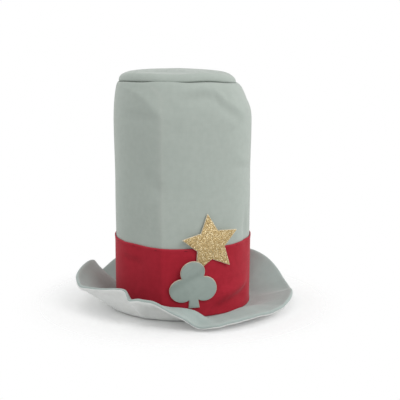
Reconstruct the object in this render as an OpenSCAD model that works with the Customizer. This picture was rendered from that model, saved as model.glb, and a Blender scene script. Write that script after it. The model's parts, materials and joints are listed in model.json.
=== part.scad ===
// Soft dress-up top hat: a tall cloth crown with a slumped tip, a wavy turned-up brim,
// a red band, and a glitter star and a club patch on the front.
// Millimetres, +Z up. The origin is the centre of the head opening on the surface the hat
// stands on, and the front of the hat faces -Y.

/* [Head opening] */
// Radius of the head opening, inside the sweatband
head_r = 84.5; // [80:0.5:92]
// Height of the sweatband
sweatband_h = 32; // [20:1:45]
// Thickness of the sweatband
sweatband_t = 1.2; // [0.8:0.1:2]

/* [Crown] */
// Height of the seam between the crown side and its tip
crown_h = 309; // [270:1:350]
// How much the crown's radius grows from its base to its shoulder
crown_flare = 2.5; // [0:0.5:6]
// Thickness of the crown's outer cloth
crown_cloth_t = 1; // [0.6:0.1:1.6]
// Thickness of the foam behind the outer cloth
crown_foam_t = 1.8; // [1:0.1:3]
// Thickness of the lining
lining_t = 0.6; // [0.4:0.1:1]
// Height over which the crown rounds in to its tip
shoulder_h = 56; // [40:1:75]
// How far the two packing creases stand out of the crown side
crease_out = 3; // [0:0.5:5]
// Angle over which a packing crease fades into the crown side
crease_spread = 14; // [8:1:25]
// Direction of the front packing crease, from +X towards +Y
crease_dir = 253; // [180:1:300]

/* [Tip] */
// Radius of the tip at its seam
tip_r = 77.5; // [72:0.5:82]
// How far the tip has slumped sideways, towards -X
tip_lean = 6.5; // [0:0.5:10]
// Radius of the rolled edge round the tip
tip_roll = 5; // [3:0.5:8]
// How far the middle of the tip swells above its rolled edge
tip_rise = 5.5; // [1:0.5:12]
// Thickness of the tip's cloth
tip_cloth_t = 1; // [0.6:0.1:1.6]

/* [Brim] */
// Width of the brim's cloth where it is narrowest
brim_w = 60; // [50:1:75]
// How much wider the brim's cloth is on its widest side
brim_extra_w = 8; // [0:1:12]
// Width of the brim's cloth over each of its two bends, beside the band
brim_bend_w = 12; // [8:1:15]
// Width of the brim's cloth between its two bends
brim_climb_w = 4; // [2:1:8]
// Thickness of the upper and of the under cloth of the brim
brim_cloth_t = 1; // [0.6:0.1:1.6]
// Thickness of the felt between the two cloths
brim_felt_t = 1.6; // [1:0.1:3]

/* [Band] */
// Height of the red band
band_h = 92.5; // [60:0.5:110]
// Thickness of the red band
band_t = 1.2; // [0.8:0.1:2]

/* [Star] */
// Radius of the star to its tips
star_r = 41.5; // [30:0.5:46]
// Radius of the star to its notches
star_notch_r = 20.5; // [14:0.5:24]
// Turn of the star on the crown
star_turn = 6; // [-10:1:15]
// Direction of the star on the crown
star_dir = 292.5; // [288:0.5:300]
// Height of the star's middle
star_z = 102; // [95:1:112]
// Thickness of the glitter sheet
star_face_t = 0.6; // [0.4:0.1:1]
// Thickness of the foam behind the glitter sheet
star_back_t = 1.4; // [1:0.1:2.5]

/* [Club] */
// Radius of each of the three lobes
lobe_r = 16.5; // [14:0.5:18]
// Half the distance between the two lower lobes
lobe_reach = 15; // [12:0.5:17]
// Height of the lower lobes' middles above the foot of the stem
lower_lobe_h = 25; // [22:0.5:30]
// Height of the upper lobe's middle above the foot of the stem
upper_lobe_h = 49; // [45:0.5:54]
// Width of the stem at its foot
stem_foot_w = 14.8; // [12:0.2:18]
// Width of the stem where it meets the lobes
stem_neck_w = 9; // [7:0.2:12]
// Turn of the club on the band
club_turn = 3; // [-6:1:8]
// Direction of the club on the band
club_dir = 279; // [276:0.5:284]
// Height of the foot of the stem
club_foot_z = 17.5; // [12:0.5:22]
// Thickness of the felt on the club's face
club_face_t = 1; // [0.6:0.1:1.5]
// Thickness of the stiff backing of the club
club_back_t = 1.6; // [1:0.1:2.5]

/* [Assembly] */
// Gap between two layers that are sewn together
layer_gap = 0.25; // [0.2:0.05:0.4]
// Gap between two pieces that rest on each other
seat_gap = 0.3; // [0.2:0.05:0.4]
// Radius of one bead of glue behind a patch
glue_r = 4; // [3:0.5:5]

/* [Hidden] */
$fn = 96;

// Direction of the notch in the brim's edge, at the back left
brim_notch_dir = 141;
// Share of the brim's extra width, as [direction, share], all the way round
brim_widths = [
    [0, 0.1], [12, 0.35], [28, 0.75], [45, 0.8], [90, 0.6], [130, 0.9], [170, 1], [200, 0.9],
    [230, 0.5], [260, 0.2], [290, 0.1], [330, 0]
];
// Turn-up of the brim's edge in degrees, as [direction, turn-up], all the way round
brim_turns = [
    [0, 13], [9, 7], [17, 9], [23, 15], [27, 28], [31, 45], [36, 56], [44, 60], [60, 57], [90, 52],
    [116, 49], [130, 31], [brim_notch_dir, 12], [150, 36], [158, 44], [166, 45], [174, 42], [182, 39],
    [192, 37], [202, 35], [212, 40], [222, 45], [230, 50], [236, 50], [241, 37], [247, 27], [254, 23],
    [262, 11], [270, -3], [278, -18], [286, 1], [300, 3], [320, -2], [340, 11]
];
// How much steeper the brim climbs beside the band, as [direction, degrees], all the way round
brim_climbs = [
    [0, 0], [180, 0], [232, 0], [240, 0], [246, 46], [254, 59], [262, 69], [270, 83], [278, 84],
    [286, 20], [294, 20], [304, 32], [314, 44], [324, 36], [334, 14], [346, 3]
];
// Columns round a cloth form
columns = 60;
// Levels of the rows of a brim cloth
brim_levels = [0, 0.5, 1, 2, 2.5, 3, 4];
// Steps in which a shoulder or a rolled edge is rounded
round_steps = 5;
// Steps from the rolled edge of the tip to its middle
dome_steps = 6;

// Heights of the brim's layers above its underside
felt_z = brim_cloth_t + layer_gap;
upper_z = felt_z + brim_felt_t + layer_gap;
brim_top_z = upper_z + brim_cloth_t;
// Height at which the crown's pieces and the band stand on the brim
base_z = brim_top_z + layer_gap;
// Height at which the crown starts to round in
shoulder_z = crown_h - shoulder_h;
// Height of the band's top edge
band_top_z = base_z + band_h;

// Radii of the layers at the crown's base, from the head outwards
root_r = head_r + sweatband_t + layer_gap;
foam_out_r = root_r + lining_t + layer_gap + crown_foam_t;
side_out_r = foam_out_r + layer_gap + crown_cloth_t;
band_out_r = side_out_r + layer_gap + band_t;
// Radius at which the brim leaves the band and starts to rise
rise_r = band_out_r + brim_cloth_t;
// Depths of the foam and of the lining below the crown side's outer face
foam_depth = side_out_r - foam_out_r;
lining_depth = foam_depth + crown_foam_t + layer_gap;
// Share of the way up the shoulder at which the foam bends again, and how far in it is there
foam_knee_up = 0.55;
foam_knee_in = 0.28;
// Radius and height at which the foam ends under the tip
foam_top_r = tip_r - tip_lean - crown_cloth_t;
foam_top_z = crown_h - crown_cloth_t - crown_foam_t;

// Distance from the hat's axis to the backs and the front of the patches
patch_r = band_face_r(band_top_z) + seat_gap;
star_front_r = patch_r + star_back_t + star_face_t;
club_foot_r = band_face_r(club_foot_z) + seat_gap;
// Place of the star's lower left tip, which the club lies over
leg_turn = 234 + star_turn;
leg_x = star_r * cos(leg_turn);
leg_z = star_z + star_r * sin(leg_turn);
leg_r = star_front_r * cos(star_dir - club_dir) - leg_x * sin(star_dir - club_dir);
// Lean of the club, from its foot on the band out to the star's tip
club_lean = atan((leg_r + seat_gap - club_foot_r) / (leg_z - club_foot_z));
// Places of the glue beads behind the star and behind the club, across and up
star_glue_spots = [[-12, -15], [0, -13], [12, -15]];
club_glue_spots = [[-9, 22], [9, 22], [0, 9]];
// Lengths of the beads, which the band then cuts short
star_glue_l = seat_gap + band_t;
club_glue_l = lower_lobe_h * tan(club_lean) + band_t;
// Sides of the round surfaces that cut the beads, fine enough for so thin a bead
bead_fn = 720;

// Outer radius of the crown side at a height below its shoulder
function wall_r(z) = side_out_r + crown_flare * (z - base_z) / (shoulder_z - base_z);

// Outer radius of the band at a height
function band_face_r(z) = wall_r(z) + layer_gap + band_t;

// How far the packing creases stand out in a direction at a height
function crease(dir, z) =
    let (from_crease = abs((dir - crease_dir + 450) % 180 - 90))
    let (fade = min(1, max(0, (z - band_top_z) / (shoulder_z - band_top_z)) * 2))
    crease_out * fade * exp(-from_crease / crease_spread);

// One knot of a list that repeats every turn
function knot(list, k) =
    let (turns = floor(k / len(list)))
    let (entry = list[k - turns * len(list)])
    [entry[0] + 360 * turns, entry[1]];

// Slope of a repeating list at one knot
function knot_slope(list, k) =
    let (before = knot(list, k - 1), after = knot(list, k + 1))
    (after[1] - before[1]) / (after[0] - before[0]);

// Smooth value of a repeating list in a direction
function wave(list, dir) =
    let (k = max([for (i = [0:len(list) - 1]) if (list[i][0] <= dir) i]))
    let (a = knot(list, k), b = knot(list, k + 1), span = b[0] - a[0], t = (dir - a[0]) / span)
    (1 + 2 * t) * (1 - t) * (1 - t) * a[1] + t * (1 - t) * (1 - t) * span * knot_slope(list, k)
    + t * t * (3 - 2 * t) * b[1] - t * t * (1 - t) * span * knot_slope(list, k + 1);

// Width of the brim's cloth in a direction
function brim_cloth_w(dir) = brim_w + brim_extra_w * wave(brim_widths, dir);

// Run of cloth that bends from one tilt to another over a width, as [out, up]
function bent_run(from, to, width) =
    abs(to - from) < 0.01
        ? width * [cos(from), sin(from)]
        : width / ((to - from) * PI / 180) * [sin(to) - sin(from), cos(from) - cos(to)];

// Share of the stretch from one level to the next that lies below a level
function stretch(level, start) = min(1, max(0, level - start));

// Point of the brim in a direction, a height above its underside: level runs from 0 at the band
// over the first bend to 1, the climb to 2, the second bend to 3 and on to 4 at the edge
function brim_point(dir, level, raise) =
    let (turn = wave(brim_turns, dir), climb = turn + max(0, wave(brim_climbs, dir)))
    let (low = climb * stretch(level, 0), tilt = low + (turn - climb) * stretch(level, 2))
    let (rest_w = brim_cloth_w(dir) - 2 * brim_bend_w - brim_climb_w)
    let (bends = bent_run(0, low, brim_bend_w * stretch(level, 0))
        + bent_run(climb, tilt, brim_bend_w * stretch(level, 2)))
    let (climbed = brim_climb_w * stretch(level, 1) * [cos(climb), sin(climb)])
    let (run = bends + climbed + rest_w * stretch(level, 3) * [cos(turn), sin(turn)])
    let (r = rise_r + run[0] - raise * sin(tilt))
    [r * cos(dir), r * sin(dir), run[1] + raise * cos(tilt)];

// Point of the brim's flat root, under the crown
function brim_root_point(dir, raise) = [root_r * cos(dir), root_r * sin(dir), raise];

// Point of the crown side: level runs from 0 at the base to 1 at the shoulder and 2 at the tip
function crown_point(dir, level, depth) =
    let (z = base_z + min(1, level) * (shoulder_z - base_z))
    let (wall = wall_r(z) + crease(dir, z), bend = 90 * max(0, level - 1))
    let (across = wall - tip_r, size = norm([shoulder_h * cos(bend), across * sin(bend)]))
    let (inward = depth * shoulder_h * cos(bend) / size, down = depth * across * sin(bend) / size)
    let (r = bend == 0 ? wall - depth : tip_r + across * cos(bend) - inward)
    [r * cos(dir) - tip_lean * (1 - cos(bend)), r * sin(dir),
        z + shoulder_h * sin(bend) - (bend == 0 ? 0 : down)];

// Half profile of a shell under the crown side, as [radius, height] from the base to the tip
function inner_profile(depth) =
    let (knee_r = wall_r(shoulder_z) - foam_knee_in * (wall_r(shoulder_z) - foam_top_r))
    [
        [wall_r(base_z) - depth, base_z],
        [wall_r(shoulder_z) - depth, shoulder_z],
        [knee_r - depth, shoulder_z + foam_knee_up * (foam_top_z - shoulder_z)],
        [foam_top_r - depth, foam_top_z - depth]
    ];

// Half profile of the top of the tip, drawn in by a depth, from its edge to its middle
function tip_profile(depth) =
    let (flat_r = tip_r - tip_roll, roll = tip_roll - depth)
    concat(
        [for (i = [0:round_steps])
            let (turn = 90 * i / round_steps)
            [flat_r + roll * cos(turn), roll * sin(turn)]],
        [for (i = [1:dome_steps])
            let (share = 1 - i / dome_steps)
            [flat_r * share, roll + tip_rise * (1 - share * share)]]
    );

// Directions of a cloth form's columns, counted from one of its own features
function directions(first_dir) = [for (i = [0:columns - 1]) (first_dir + 360 * i / columns) % 360];
crown_directions = directions(crease_dir);
brim_directions = directions(brim_notch_dir);
// Levels of the crown side's rows
crown_levels = concat(
    [0, (band_top_z - base_z) / (shoulder_z - base_z), 0.6, 0.8],
    [for (i = [0:round_steps]) 1 + i / round_steps]
);

function reversed(list) = [for (i = [len(list) - 1:-1:0]) list[i]];

// Closed shell between two skins of the same rows and columns, closed round its columns
module cloth_shell(front, back) {
    cols = len(front[0]);
    skin = len(front) * cols;
    last = len(front) - 1;
    function id(side, i, j) = side * skin + i * cols + j % cols;
    front_faces = [for (i = [0:last - 1], j = [0:cols - 1]) each [
        [id(0, i, j), id(0, i + 1, j), id(0, i + 1, j + 1)],
        [id(0, i, j), id(0, i + 1, j + 1), id(0, i, j + 1)]
    ]];
    back_faces = [for (i = [0:last - 1], j = [0:cols - 1]) each [
        [id(1, i, j), id(1, i + 1, j + 1), id(1, i + 1, j)],
        [id(1, i, j), id(1, i, j + 1), id(1, i + 1, j + 1)]
    ]];
    last_faces = [for (j = [0:cols - 1]) each [
        [id(0, last, j), id(1, last, j), id(1, last, j + 1)],
        [id(0, last, j), id(1, last, j + 1), id(0, last, j + 1)]
    ]];
    first_faces = [for (j = [0:cols - 1]) each [
        [id(0, 0, j), id(1, 0, j + 1), id(1, 0, j)],
        [id(0, 0, j), id(0, 0, j + 1), id(1, 0, j + 1)]
    ]];
    polyhedron(
        points = concat([for (row = front) each row], [for (row = back) each row]),
        faces = concat(front_faces, back_faces, last_faces, first_faces)
    );
}

// One skin of the brim, raised by a height above its underside
function brim_skin(raise) = concat(
    [[for (dir = brim_directions) brim_root_point(dir, raise)]],
    [for (level = brim_levels) [for (dir = brim_directions) brim_point(dir, level, raise)]]
);

// One layer of the brim between two heights above its underside
module brim_layer(low, high) {
    cloth_shell(brim_skin(low), brim_skin(high));
}

// Round shell that lies a depth under the crown side
module inner_shell(depth, thickness) {
    rotate_extrude()
        polygon(concat(inner_profile(depth), reversed(inner_profile(depth + thickness))));
}

// Ring of the crown's side between two heights, from one depth under its face to another
module wall_ring(low_z, high_z, inner_depth, outer_depth) {
    rotate_extrude()
        polygon([
            [wall_r(low_z) - inner_depth, low_z],
            [wall_r(low_z) - outer_depth, low_z],
            [wall_r(high_z) - outer_depth, high_z],
            [wall_r(high_z) - inner_depth, high_z]
        ]);
}

// Places a shape upright on the crown, with its own X across, Y up and Z outwards
module on_crown(dir, r, z) {
    rotate([0, 0, dir]) translate([r, 0, z]) rotate([90, 0, 90]) children();
}

// Places the crown's top pieces over the seam of the tip
module on_tip() {
    translate([-tip_lean, 0, crown_h + seat_gap]) children();
}

module star_outline() {
    polygon([for (i = [0:9])
        let (r = i % 2 == 0 ? star_r : star_notch_r)
        r * [cos(90 + 36 * i), sin(90 + 36 * i)]]);
}

module club_outline() {
    translate([0, upper_lobe_h]) circle(lobe_r);
    for (side = [-1, 1])
        translate([side * lobe_reach, lower_lobe_h]) circle(lobe_r);
    polygon([
        [-stem_foot_w / 2, 0],
        [stem_foot_w / 2, 0],
        [stem_neck_w / 2, lower_lobe_h],
        [-stem_neck_w / 2, lower_lobe_h]
    ]);
}

module on_star(offset_out) {
    on_crown(star_dir, patch_r, star_z) translate([0, 0, offset_out]) children();
}

module on_club(offset_out) {
    on_crown(club_dir, club_foot_r, club_foot_z)
        rotate([club_lean, 0, club_turn]) translate([0, 0, offset_out]) children();
}

// Beads of glue that reach from the back of a patch down to the band
module glue_beads(spots, length) {
    for (spot = spots)
        translate([spot[0], spot[1], -length]) cylinder(r = glue_r, h = length);
}

// Space that the band and the crown take up, with the gap that the glue keeps from them
module band_space() {
    rotate_extrude($fn = bead_fn)
        polygon([
            [0, 0],
            [band_face_r(0) + seat_gap / 2, 0],
            [band_face_r(shoulder_z) + seat_gap / 2, shoulder_z],
            [0, shoulder_z]
        ]);
}

module sweatband() {
    color("dimgray") rotate_extrude()
        translate([head_r, 0]) square([sweatband_t, sweatband_h]);
}

module brim_under() {
    color([0.78, 0.80, 0.78]) brim_layer(0, brim_cloth_t);
}

module brim_felt() {
    color("gainsboro") brim_layer(felt_z, felt_z + brim_felt_t);
}

module brim_upper() {
    color([0.63, 0.67, 0.64]) brim_layer(upper_z, brim_top_z);
}

module crown_lining() {
    color("darkslategray") inner_shell(lining_depth, lining_t);
}

module crown_foam() {
    color("whitesmoke") inner_shell(foam_depth, crown_foam_t);
}

module crown_side() {
    color([0.65, 0.68, 0.66]) cloth_shell(
        [for (level = crown_levels) [for (dir = crown_directions) crown_point(dir, level, 0)]],
        [for (level = crown_levels)
            [for (dir = crown_directions) crown_point(dir, level, crown_cloth_t)]]
    );
}

module crown_tip() {
    color([0.68, 0.71, 0.69]) on_tip() rotate_extrude()
        polygon(concat(tip_profile(0), reversed(tip_profile(tip_cloth_t))));
}

module tip_padding() {
    color("whitesmoke") on_tip() rotate_extrude()
        polygon(concat([[0, 0]], tip_profile(tip_cloth_t + layer_gap)));
}

module tip_lining() {
    color("darkslategray") translate([0, 0, foam_top_z - lining_depth + seat_gap])
        cylinder(r = foam_top_r - lining_depth, h = lining_t);
}

module hat_band() {
    color([0.62, 0.14, 0.19]) wall_ring(base_z, band_top_z, -layer_gap, -layer_gap - band_t);
}

module star_back() {
    color("wheat") on_star(0) rotate(star_turn) linear_extrude(star_back_t) star_outline();
}

module star_face() {
    color("goldenrod") on_star(star_back_t) rotate(star_turn) linear_extrude(star_face_t) star_outline();
}

module star_glue() {
    color("ivory") difference() {
        on_star(0) glue_beads(star_glue_spots, star_glue_l);
        band_space();
    }
}

module club_back() {
    color("linen") on_club(0) linear_extrude(club_back_t) club_outline();
}

module club_face() {
    color([0.56, 0.61, 0.59]) on_club(club_back_t) linear_extrude(club_face_t) club_outline();
}

module club_glue() {
    color("ivory") difference() {
        on_club(0) glue_beads(club_glue_spots, club_glue_l);
        band_space();
    }
}

sweatband();
brim_under();
brim_felt();
brim_upper();
crown_lining();
crown_foam();
crown_side();
crown_tip();
tip_padding();
tip_lining();
hat_band();
star_back();
star_face();
star_glue();
club_back();
club_face();
club_glue();
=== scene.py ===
"""Looks of a soft dress-up top hat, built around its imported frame, in metres."""

import json
import logging
import math
import random
from dataclasses import dataclass, field, replace
from enum import Enum
from functools import cache
from typing import Callable, Sequence

import bmesh
import bpy
from mathutils import Matrix, Vector, geometry, noise


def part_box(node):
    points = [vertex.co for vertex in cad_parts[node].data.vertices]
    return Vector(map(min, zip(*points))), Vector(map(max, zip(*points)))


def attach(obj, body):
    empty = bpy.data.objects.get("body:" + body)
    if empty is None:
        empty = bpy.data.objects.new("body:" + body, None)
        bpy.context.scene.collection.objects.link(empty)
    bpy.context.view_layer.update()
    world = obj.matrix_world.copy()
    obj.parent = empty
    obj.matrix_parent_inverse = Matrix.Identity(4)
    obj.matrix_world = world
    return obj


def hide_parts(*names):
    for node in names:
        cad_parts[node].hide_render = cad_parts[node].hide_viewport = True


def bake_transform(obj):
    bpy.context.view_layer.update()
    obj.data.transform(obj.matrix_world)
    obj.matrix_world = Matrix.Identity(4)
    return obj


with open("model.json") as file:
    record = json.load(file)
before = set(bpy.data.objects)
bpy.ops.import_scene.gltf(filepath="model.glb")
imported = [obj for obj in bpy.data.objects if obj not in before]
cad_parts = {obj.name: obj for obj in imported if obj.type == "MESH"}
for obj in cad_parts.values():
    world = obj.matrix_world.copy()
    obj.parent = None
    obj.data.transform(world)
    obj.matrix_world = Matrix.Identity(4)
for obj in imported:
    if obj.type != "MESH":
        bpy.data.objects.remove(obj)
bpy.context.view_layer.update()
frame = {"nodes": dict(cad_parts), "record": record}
LOG = logging.getLogger("top_hat")

Colour = tuple[float, float, float, float]
Range = tuple[float, float]
Triple = tuple[float, float, float]
Knots = Sequence[tuple[float, float]]
Placer = Callable[[float, float], Vector]
Wear = Callable[[float, float], float]
Socket = bpy.types.NodeSocket

FULL_TURN = 360.0
HALF_TURN = 180.0
QUARTER_TURN = 90.0
FRONT = 270.0
BACK = 90.0
TOUCHING = 1e-6
CUT_SHIFT = 1e-5
RIM_ANGLE = 60.0
PATCH_CREASE = 35.0
FLAKE_CREASE = 10.0
CLOTH_UV = "cloth"
RUB = "rub"
FLAKE_TONE = "flake_tone"
VALUE = "NodeSocketFloat"
COLOUR = "NodeSocketColor"


class Body(Enum):
    """Bodies of the frame that pieces ride on."""

    BASE = "hat_base"
    TOP = "crown_top"


class Held(Enum):
    """How a sheet of cloth is held in the hat."""

    STRETCHED = "stretched"
    LAID = "laid"


class Coordinates(Enum):
    """Coordinates that a pattern reads."""

    OBJECT = "Object"
    CLOTH = "UV"


def tone(red: int, green: int, blue: int) -> Colour:
    """Turns a screen colour into the linear colour that a shader takes.

    Args:
        red: Red, up to 255.
        green: Green, up to 255.
        blue: Blue, up to 255.

    Returns:
        The linear colour, opaque.
    """
    shares = [channel / 255 for channel in (red, green, blue)]
    linear = [s / 12.92 if s <= 0.04045 else ((s + 0.055) / 1.055) ** 2.4 for s in shares]
    return (*linear, 1.0)


def eased(low: float, high: float, value: float) -> float:
    """Rises smoothly from 0 at low to 1 at high.

    Args:
        low: Value at which the rise starts.
        high: Value at which the rise ends.
        value: Value to look at.

    Returns:
        A share from 0 to 1.
    """
    share = min(1.0, max(0.0, (value - low) / (high - low)))
    return share * share * (3 - 2 * share)


def along_knots(knots: Knots, value: float) -> float:
    """Reads a broken line of knots, flat beyond its ends.

    Args:
        knots: Pairs of position and value, in rising order of position.
        value: Position to read at.

    Returns:
        The value there.
    """
    if value <= knots[0][0]:
        return knots[0][1]
    for (low, start), (high, end) in zip(knots, knots[1:]):
        if value <= high:
            return start + (end - start) * (value - low) / (high - low)
    return knots[-1][1]


@cache
def round_wave(knots: Knots, direction: float) -> float:
    """Reads a smooth curve through knots that repeat every full turn.

    Args:
        knots: Pairs of direction in degrees and value, in rising order.
        direction: Direction to read at, in degrees.

    Returns:
        The value there.
    """
    count = len(knots)
    turned = direction % FULL_TURN

    def knot(index: int) -> tuple[float, float]:
        """Gives a knot, counted on past the full turn."""
        turns, place = divmod(index, count)
        return knots[place][0] + FULL_TURN * turns, knots[place][1]

    def slope(index: int) -> float:
        """Gives the curve's slope at a knot."""
        (before, low), (after, high) = knot(index - 1), knot(index + 1)
        return (high - low) / (after - before)

    index = max(i for i in range(count) if knots[i][0] <= turned)
    (start, first), (end, last) = knot(index), knot(index + 1)
    span = end - start
    t = (turned - start) / span
    rise = t * t * (3 - 2 * t)
    leaving = t * (1 - t) ** 2 * span * slope(index)
    arriving = t * t * (1 - t) * span * slope(index + 1)
    return first * (1 - rise) + last * rise + leaving - arriving


def turn_gap(first: float, second: float) -> float:
    """Gives the shortest signed turn from the second direction to the first, in degrees."""
    return (first - second + HALF_TURN) % FULL_TURN - HALF_TURN


def bearing_of(direction: float) -> float:
    """Turns a direction from +X into degrees to the right of the hat's front."""
    return turn_gap(direction, FRONT)


def polar(direction: float, radius: float, height: float) -> Vector:
    """Gives the point at a direction in degrees, a radius and a height."""
    angle = math.radians(direction)
    return Vector((radius * math.cos(angle), radius * math.sin(angle), height))


def link_object(name: str, data: bpy.types.ID) -> bpy.types.Object:
    """Adds an object to the scene.

    Args:
        name: Name of the object.
        data: Its mesh, lamp or camera.

    Returns:
        The new object.
    """
    item = bpy.data.objects.new(name, data)
    bpy.context.scene.collection.objects.link(item)
    return item


def mesh_from(bm: bmesh.types.BMesh, name: str) -> bpy.types.Mesh:
    """Turns a bmesh, which is used up, into a mesh.

    Args:
        bm: The bmesh.
        name: Name of the mesh.

    Returns:
        The new mesh.
    """
    mesh = bpy.data.meshes.new(name)
    bm.to_mesh(mesh)
    bm.free()
    return mesh


class NodeDesk:
    """Adds nodes to one node tree and joins them."""

    def __init__(self, tree: bpy.types.NodeTree) -> None:
        """Takes the tree to work on."""
        self.tree = tree

    def feed(self, socket: Socket, value: object) -> None:
        """Links a socket to another one, or sets its own value.

        Args:
            socket: Input to feed.
            value: An output socket or a plain value.
        """
        if isinstance(value, bpy.types.NodeSocket):
            self.tree.links.new(value, socket)
        else:
            socket.default_value = value

    def add(self, kind: str, inputs: dict | None = None, **settings: object) -> bpy.types.Node:
        """Adds a node.

        Args:
            kind: Blender's name of the node type.
            inputs: Values or sockets for its inputs, by name or by place.
            **settings: Properties of the node.

        Returns:
            The new node.
        """
        node = self.tree.nodes.new(kind)
        for name, value in settings.items():
            setattr(node, name, value)
        for name, value in (inputs or {}).items():
            self.feed(node.inputs[name], value)
        return node

    def math(self, operation: str, *values: object) -> Socket:
        """Adds a Math node with its values in order, and gives its result."""
        return self.add("ShaderNodeMath", dict(enumerate(values)), operation=operation).outputs[0]

    def mix(self, share: object, first: object, second: object) -> Socket:
        """Adds a colour Mix node.

        Args:
            share: Share of the second colour.
            first: First colour.
            second: Second colour.

        Returns:
            The socket of the mixed colour.
        """
        node = self.add("ShaderNodeMix", data_type="RGBA")
        for name, value in (("Factor_Float", share), ("A_Color", first), ("B_Color", second)):
            self.feed(next(s for s in node.inputs if s.identifier == name), value)
        return next(s for s in node.outputs if s.identifier == "Result_Color")

    def spread(self, value: object, low: object, high: object) -> Socket:
        """Maps a value from 0 and 1 onto a low and a high value."""
        return self.add("ShaderNodeMapRange", {"Value": value, "To Min": low, "To Max": high}).outputs[0]

    def noise(self, vector: object, scale: object, detail: float) -> Socket:
        """Adds a noise pattern and gives its grey value."""
        inputs = {"Vector": vector, "Scale": scale, "Detail": detail}
        return self.add("ShaderNodeTexNoise", inputs).outputs["Fac"]

    def stretch(self, vector: object, factors: Triple) -> Socket:
        """Scales a vector by its own factor along each axis."""
        return self.add("ShaderNodeVectorMath", {0: vector, 1: factors}, operation="MULTIPLY").outputs[0]

    def coordinates(self, kind: Coordinates) -> Socket:
        """Gives the coordinates that a pattern reads."""
        return self.add("ShaderNodeTexCoord").outputs[kind.value]

    def bump(self, height: Socket, distance: float, strength: float) -> Socket:
        """Adds a Bump node and gives its normal."""
        inputs = {"Height": height, "Distance": distance, "Strength": strength}
        return self.add("ShaderNodeBump", inputs).outputs[0]


class EffectGroup:
    """A shader effect that several finishes share."""

    def __init__(self, name: str, inputs: dict[str, str], outputs: dict[str, str]) -> None:
        """Makes an empty group.

        Args:
            name: Name of the effect.
            inputs: Socket types of the inputs, by name.
            outputs: Socket types of the outputs, by name.
        """
        self.tree = bpy.data.node_groups.new(name, "ShaderNodeTree")
        for way, sockets in (("INPUT", inputs), ("OUTPUT", outputs)):
            for socket_name, kind in sockets.items():
                self.tree.interface.new_socket(socket_name, in_out=way, socket_type=kind)
        self.desk = NodeDesk(self.tree)
        self.source = self.desk.add("NodeGroupInput").outputs
        self.result = self.desk.add("NodeGroupOutput").inputs

    def place(self, desk: NodeDesk, inputs: dict[str, object]) -> bpy.types.NodeOutputs:
        """Places the effect in a material, with its own values or sockets, and gives its outputs."""
        return desk.add("ShaderNodeGroup", inputs, node_tree=self.tree).outputs


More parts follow.
